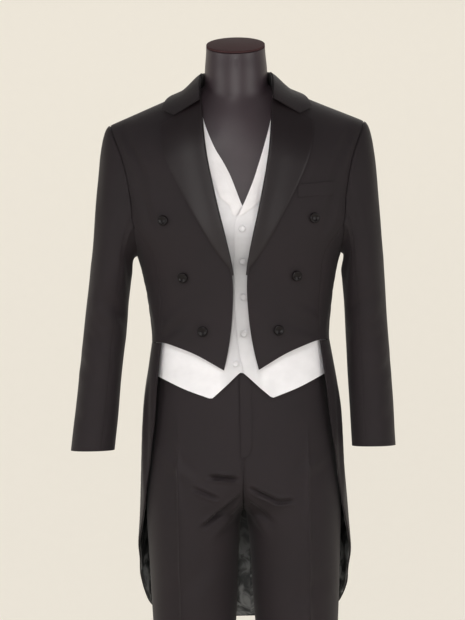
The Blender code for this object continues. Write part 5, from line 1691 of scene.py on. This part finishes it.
class TUXEDO_OT_form(bpy.types.Operator):
    """Build the moulded torso and neck, its cap, and finish the stand"""

    bl_idname = "tuxedo.form"
    bl_label = "Dress form"

    def execute(self, context):
        metal = brushed_metal("brushed stand", colours().metal)
        bm = grid_mesh(form_points(), closed=True)
        rims = [edge for edge in bm.edges if edge.is_boundary]
        bmesh.ops.holes_fill(bm, edges=rims, sides=0)
        bmesh.ops.recalc_face_normals(bm, faces=bm.faces)
        shell = form_shell("moulded shell", colours().shell, roughness=0.42, specular=0.45)
        hard_piece("torso_and_neck", bm, shell, "form_torso")

        lean = math.radians(NECK_TILT)
        bm = rounded_disc(CAP_RADIUS, CAP_THICKNESS, CAP_BEVEL, 96)
        bmesh.ops.rotate(bm, verts=bm.verts, cent=(0, 0, 0), matrix=Matrix.Rotation(lean, 3, "X"))
        bmesh.ops.translate(bm, verts=bm.verts, vec=(0, 0, NECK_TOP + CAP_GAP / math.cos(lean)))
        shell = form_shell("cap shell", colours().cap, roughness=0.80, specular=0.08)
        hard_piece("cap_disc", bm, shell, "neck_cap")

        bm = rounded_disc(BASE_RADIUS, BASE_THICKNESS, BASE_BEVEL, 128)
        hard_piece("base_plate", bm, metal, "form_base")
        for name, _ in SIDES:
            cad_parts["form_post_" + name].material_slots[0].material = metal
        return {"FINISHED"}


class TUXEDO_OT_trousers(bpy.types.Operator):
    """Build the trouser fronts, backs, waistband and fly"""

    bl_idname = "tuxedo.trousers"
    bl_label = "Trousers"

    def execute(self, context):
        wool = coat_wool()
        strength = sizes().fold_strength
        for name, hand in SIDES:
            for panel, make in (("front", trouser_front), ("back", trouser_back)):
                cloth("trouser_%s_cloth_%s" % (panel, name), make(hand, strength), wool, TROUSER_WALL,
                      "trouser_%s_%s" % (panel, name), hand)
        cloth("waistband_cloth", waistband(), wool, TROUSER_WALL, "trouser_waistband",
              closed=True)
        cloth("fly_cloth", trouser_fly(), wool, FLY_WALL, "trouser_fly")
        return {"FINISHED"}


class TUXEDO_OT_waistcoat(bpy.types.Operator):
    """Build the waistcoat's fronts, lapels and back"""

    bl_idname = "tuxedo.waistcoat"
    bl_label = "Waistcoat"

    def execute(self, context):
        satin = vest_satin()
        for name, hand in SIDES:
            front = vest_front(hand, sizes().fold_strength)
            cloth("vest_front_cloth_" + name, front, satin, VEST_WALL, "vest_front_" + name,
                  hand=hand)
            cloth("vest_lapel_cloth_" + name, vest_lapel(hand), vest_lapel_satin(), VEST_LAPEL_WALL,
                  "vest_lapel_" + name, hand=hand)
        cloth("vest_back_cloth", vest_back(), satin, VEST_WALL, "vest_back")
        return {"FINISHED"}


class TUXEDO_OT_coat_body(bpy.types.Operator):
    """Build the coat's fronts, side bodies, backs, skirts and lined tails"""

    bl_idname = "tuxedo.coat_body"
    bl_label = "Coat body"

    def execute(self, context):
        wool = coat_wool()
        strength = sizes().fold_strength
        lining = figured_lining_with_painted_shade("figured lining with painted shade", colours().lining_ground, colours().lining_figure)
        panels = (("front", coat_front), ("side", coat_side), ("back", coat_back), ("skirt", coat_skirt))
        for name, hand in SIDES:
            for panel, make in panels:
                cloth("coat_%s_cloth_%s" % (panel, name), make(hand, strength), wool, COAT_WALL,
                      "coat_%s_%s" % (panel, name), hand=hand)
            cloth("tail_lining_cloth_" + name, tail_lining(hand, strength), lining, LINING_WALL,
                  "coat_tail_lining_" + name, hand)
        cloth("breast_welt_cloth", breast_welt(), wool, WELT_WALL, "breast_welt")
        return {"FINISHED"}


class TUXEDO_OT_sleeves(bpy.types.Operator):
    """Build the two-piece sleeves"""

    bl_idname = "tuxedo.sleeves"
    bl_label = "Sleeves"

    def execute(self, context):
        wool = coat_wool()
        strength = sizes().fold_strength
        back = SLEEVE_SEAM_BACK - 360 + SLEEVE_SEAM_TURN
        front = SLEEVE_SEAM_FRONT - SLEEVE_SEAM_TURN
        panels = (
            ("top", "front", back, front),
            ("under", "side", front + 2 * SLEEVE_SEAM_TURN, back + 360 - 2 * SLEEVE_SEAM_TURN),
        )
        for name, hand in SIDES:
            for panel, carrier, first, last in panels:
                made = sleeve("sleeve " + panel, hand, first, last, strength)
                cloth("sleeve_%s_cloth_%s" % (panel, name), made, wool, COAT_WALL,
                      "sleeve_%s_%s" % (panel, name), hand)
        return {"FINISHED"}


class TUXEDO_OT_lapels(bpy.types.Operator):
    """Build the satin lapels and the wool collar"""

    bl_idname = "tuxedo.lapels"
    bl_label = "Lapels and collar"

    def execute(self, context):
        for name, hand in SIDES:
            cloth("lapel_satin_" + name, coat_lapel(sizes().lapel_roll), black_satin(), TRIM_WALL,
                  "coat_lapel_" + name, hand)
        cloth("collar_cloth", collar_points(), coat_wool(), TRIM_WALL, "coat_collar")
        return {"FINISHED"}


def covered_button(name, radius, height, place, finish, node):
    """A covered button: a thick rim round a slightly hollow top, gathered under on a short seat."""
    bm = bmesh.new()
    line = [bm.verts.new((share * radius, 0, level * height)) for share, level in BUTTON_PROFILE]
    edges = [bm.edges.new(pair) for pair in zip(line, line[1:])]
    bmesh.ops.spin(bm, geom=line + edges, cent=(0, 0, 0), axis=(0, 0, 1), angle=2 * math.pi, steps=48,
                   use_merge=True)
    bmesh.ops.remove_doubles(bm, verts=bm.verts, dist=0.00001)
    for vert in bm.verts:
        turn = math.atan2(vert.co.y, vert.co.x)
        outward = max(0.0, math.hypot(vert.co.x, vert.co.y) / radius - GATHER_START) / (1 - GATHER_START)
        vert.co.z += GATHER_DEPTH * math.sin(BUTTON_GATHERS * turn + 0.7) * outward * (vert.co.z / height)
    bmesh.ops.transform(bm, verts=bm.verts, matrix=place)
    bmesh.ops.recalc_face_normals(bm, faces=bm.faces)
    return ridden(finish_mesh(name, bm, finish), node)


class TUXEDO_OT_buttons(bpy.types.Operator):
    """Sew on the covered buttons of coat and waistcoat"""

    bl_idname = "tuxedo.buttons"
    bl_label = "Buttons"

    def execute(self, context):
        group = sizes()
        for row, (x, z) in enumerate(COAT_BUTTONS, start=1):
            for name, hand in SIDES:
                place = on_surface(x * hand, z, lambda _: COAT_OUT)
                covered_button("covered_coat_button_%s%d" % (name, row), group.coat_button_radius,
                               group.coat_button_height, place, button_satin(),
                               "coat_button_%s%d" % (name, row))
        places = [on_surface(VEST_BUTTON_X, z, lambda x: VEST_OUT + lap_rise(x)) for z in VEST_BUTTONS]
        places.append(on_surface(*VEST_LOW_BUTTON, lambda _: VEST_OUT))
        for row, place in enumerate(places, start=1):
            covered_button("covered_vest_button_%d" % row, group.vest_button_radius,
                           group.vest_button_height, place, vest_satin(),
                           "vest_button_%d" % row)
        return {"FINISHED"}


class TUXEDO_PT_panel(bpy.types.Panel):
    """Sizes, colours and the steps that build the tuxedo"""

    bl_idname = "TUXEDO_PT_panel"
    bl_label = "Tailcoat Tuxedo"
    bl_space_type = "VIEW_3D"
    bl_region_type = "UI"
    bl_category = "Tuxedo"

    def draw(self, context):
        for group in (sizes(), colours()):
            column = self.layout.column()
            for name in group.__annotations__:
                column.prop(group, name)
        for step in STEPS:
            self.layout.operator(step.bl_idname)


STEPS = (
    TUXEDO_OT_stage,
    TUXEDO_OT_form,
    TUXEDO_OT_trousers,
    TUXEDO_OT_waistcoat,
    TUXEDO_OT_coat_body,
    TUXEDO_OT_sleeves,
    TUXEDO_OT_lapels,
    TUXEDO_OT_buttons,
)
CLASSES = (TuxedoSizes, TuxedoColours) + STEPS + (TUXEDO_PT_panel,)


def register():
    for made in CLASSES:
        bpy.utils.register_class(made)
    bpy.types.Scene.tuxedo_sizes = PointerProperty(type=TuxedoSizes)
    bpy.types.Scene.tuxedo_colours = PointerProperty(type=TuxedoColours)


def unregister():
    del bpy.types.Scene.tuxedo_colours
    del bpy.types.Scene.tuxedo_sizes
    for made in reversed(CLASSES):
        bpy.utils.unregister_class(made)


def main():
    register()
    bpy.ops.tuxedo.stage()
    bpy.ops.tuxedo.form()
    bpy.ops.tuxedo.trousers()
    bpy.ops.tuxedo.waistcoat()
    bpy.ops.tuxedo.coat_body()
    bpy.ops.tuxedo.sleeves()
    bpy.ops.tuxedo.lapels()
    bpy.ops.tuxedo.buttons()


if __name__ == "__main__":
    main()
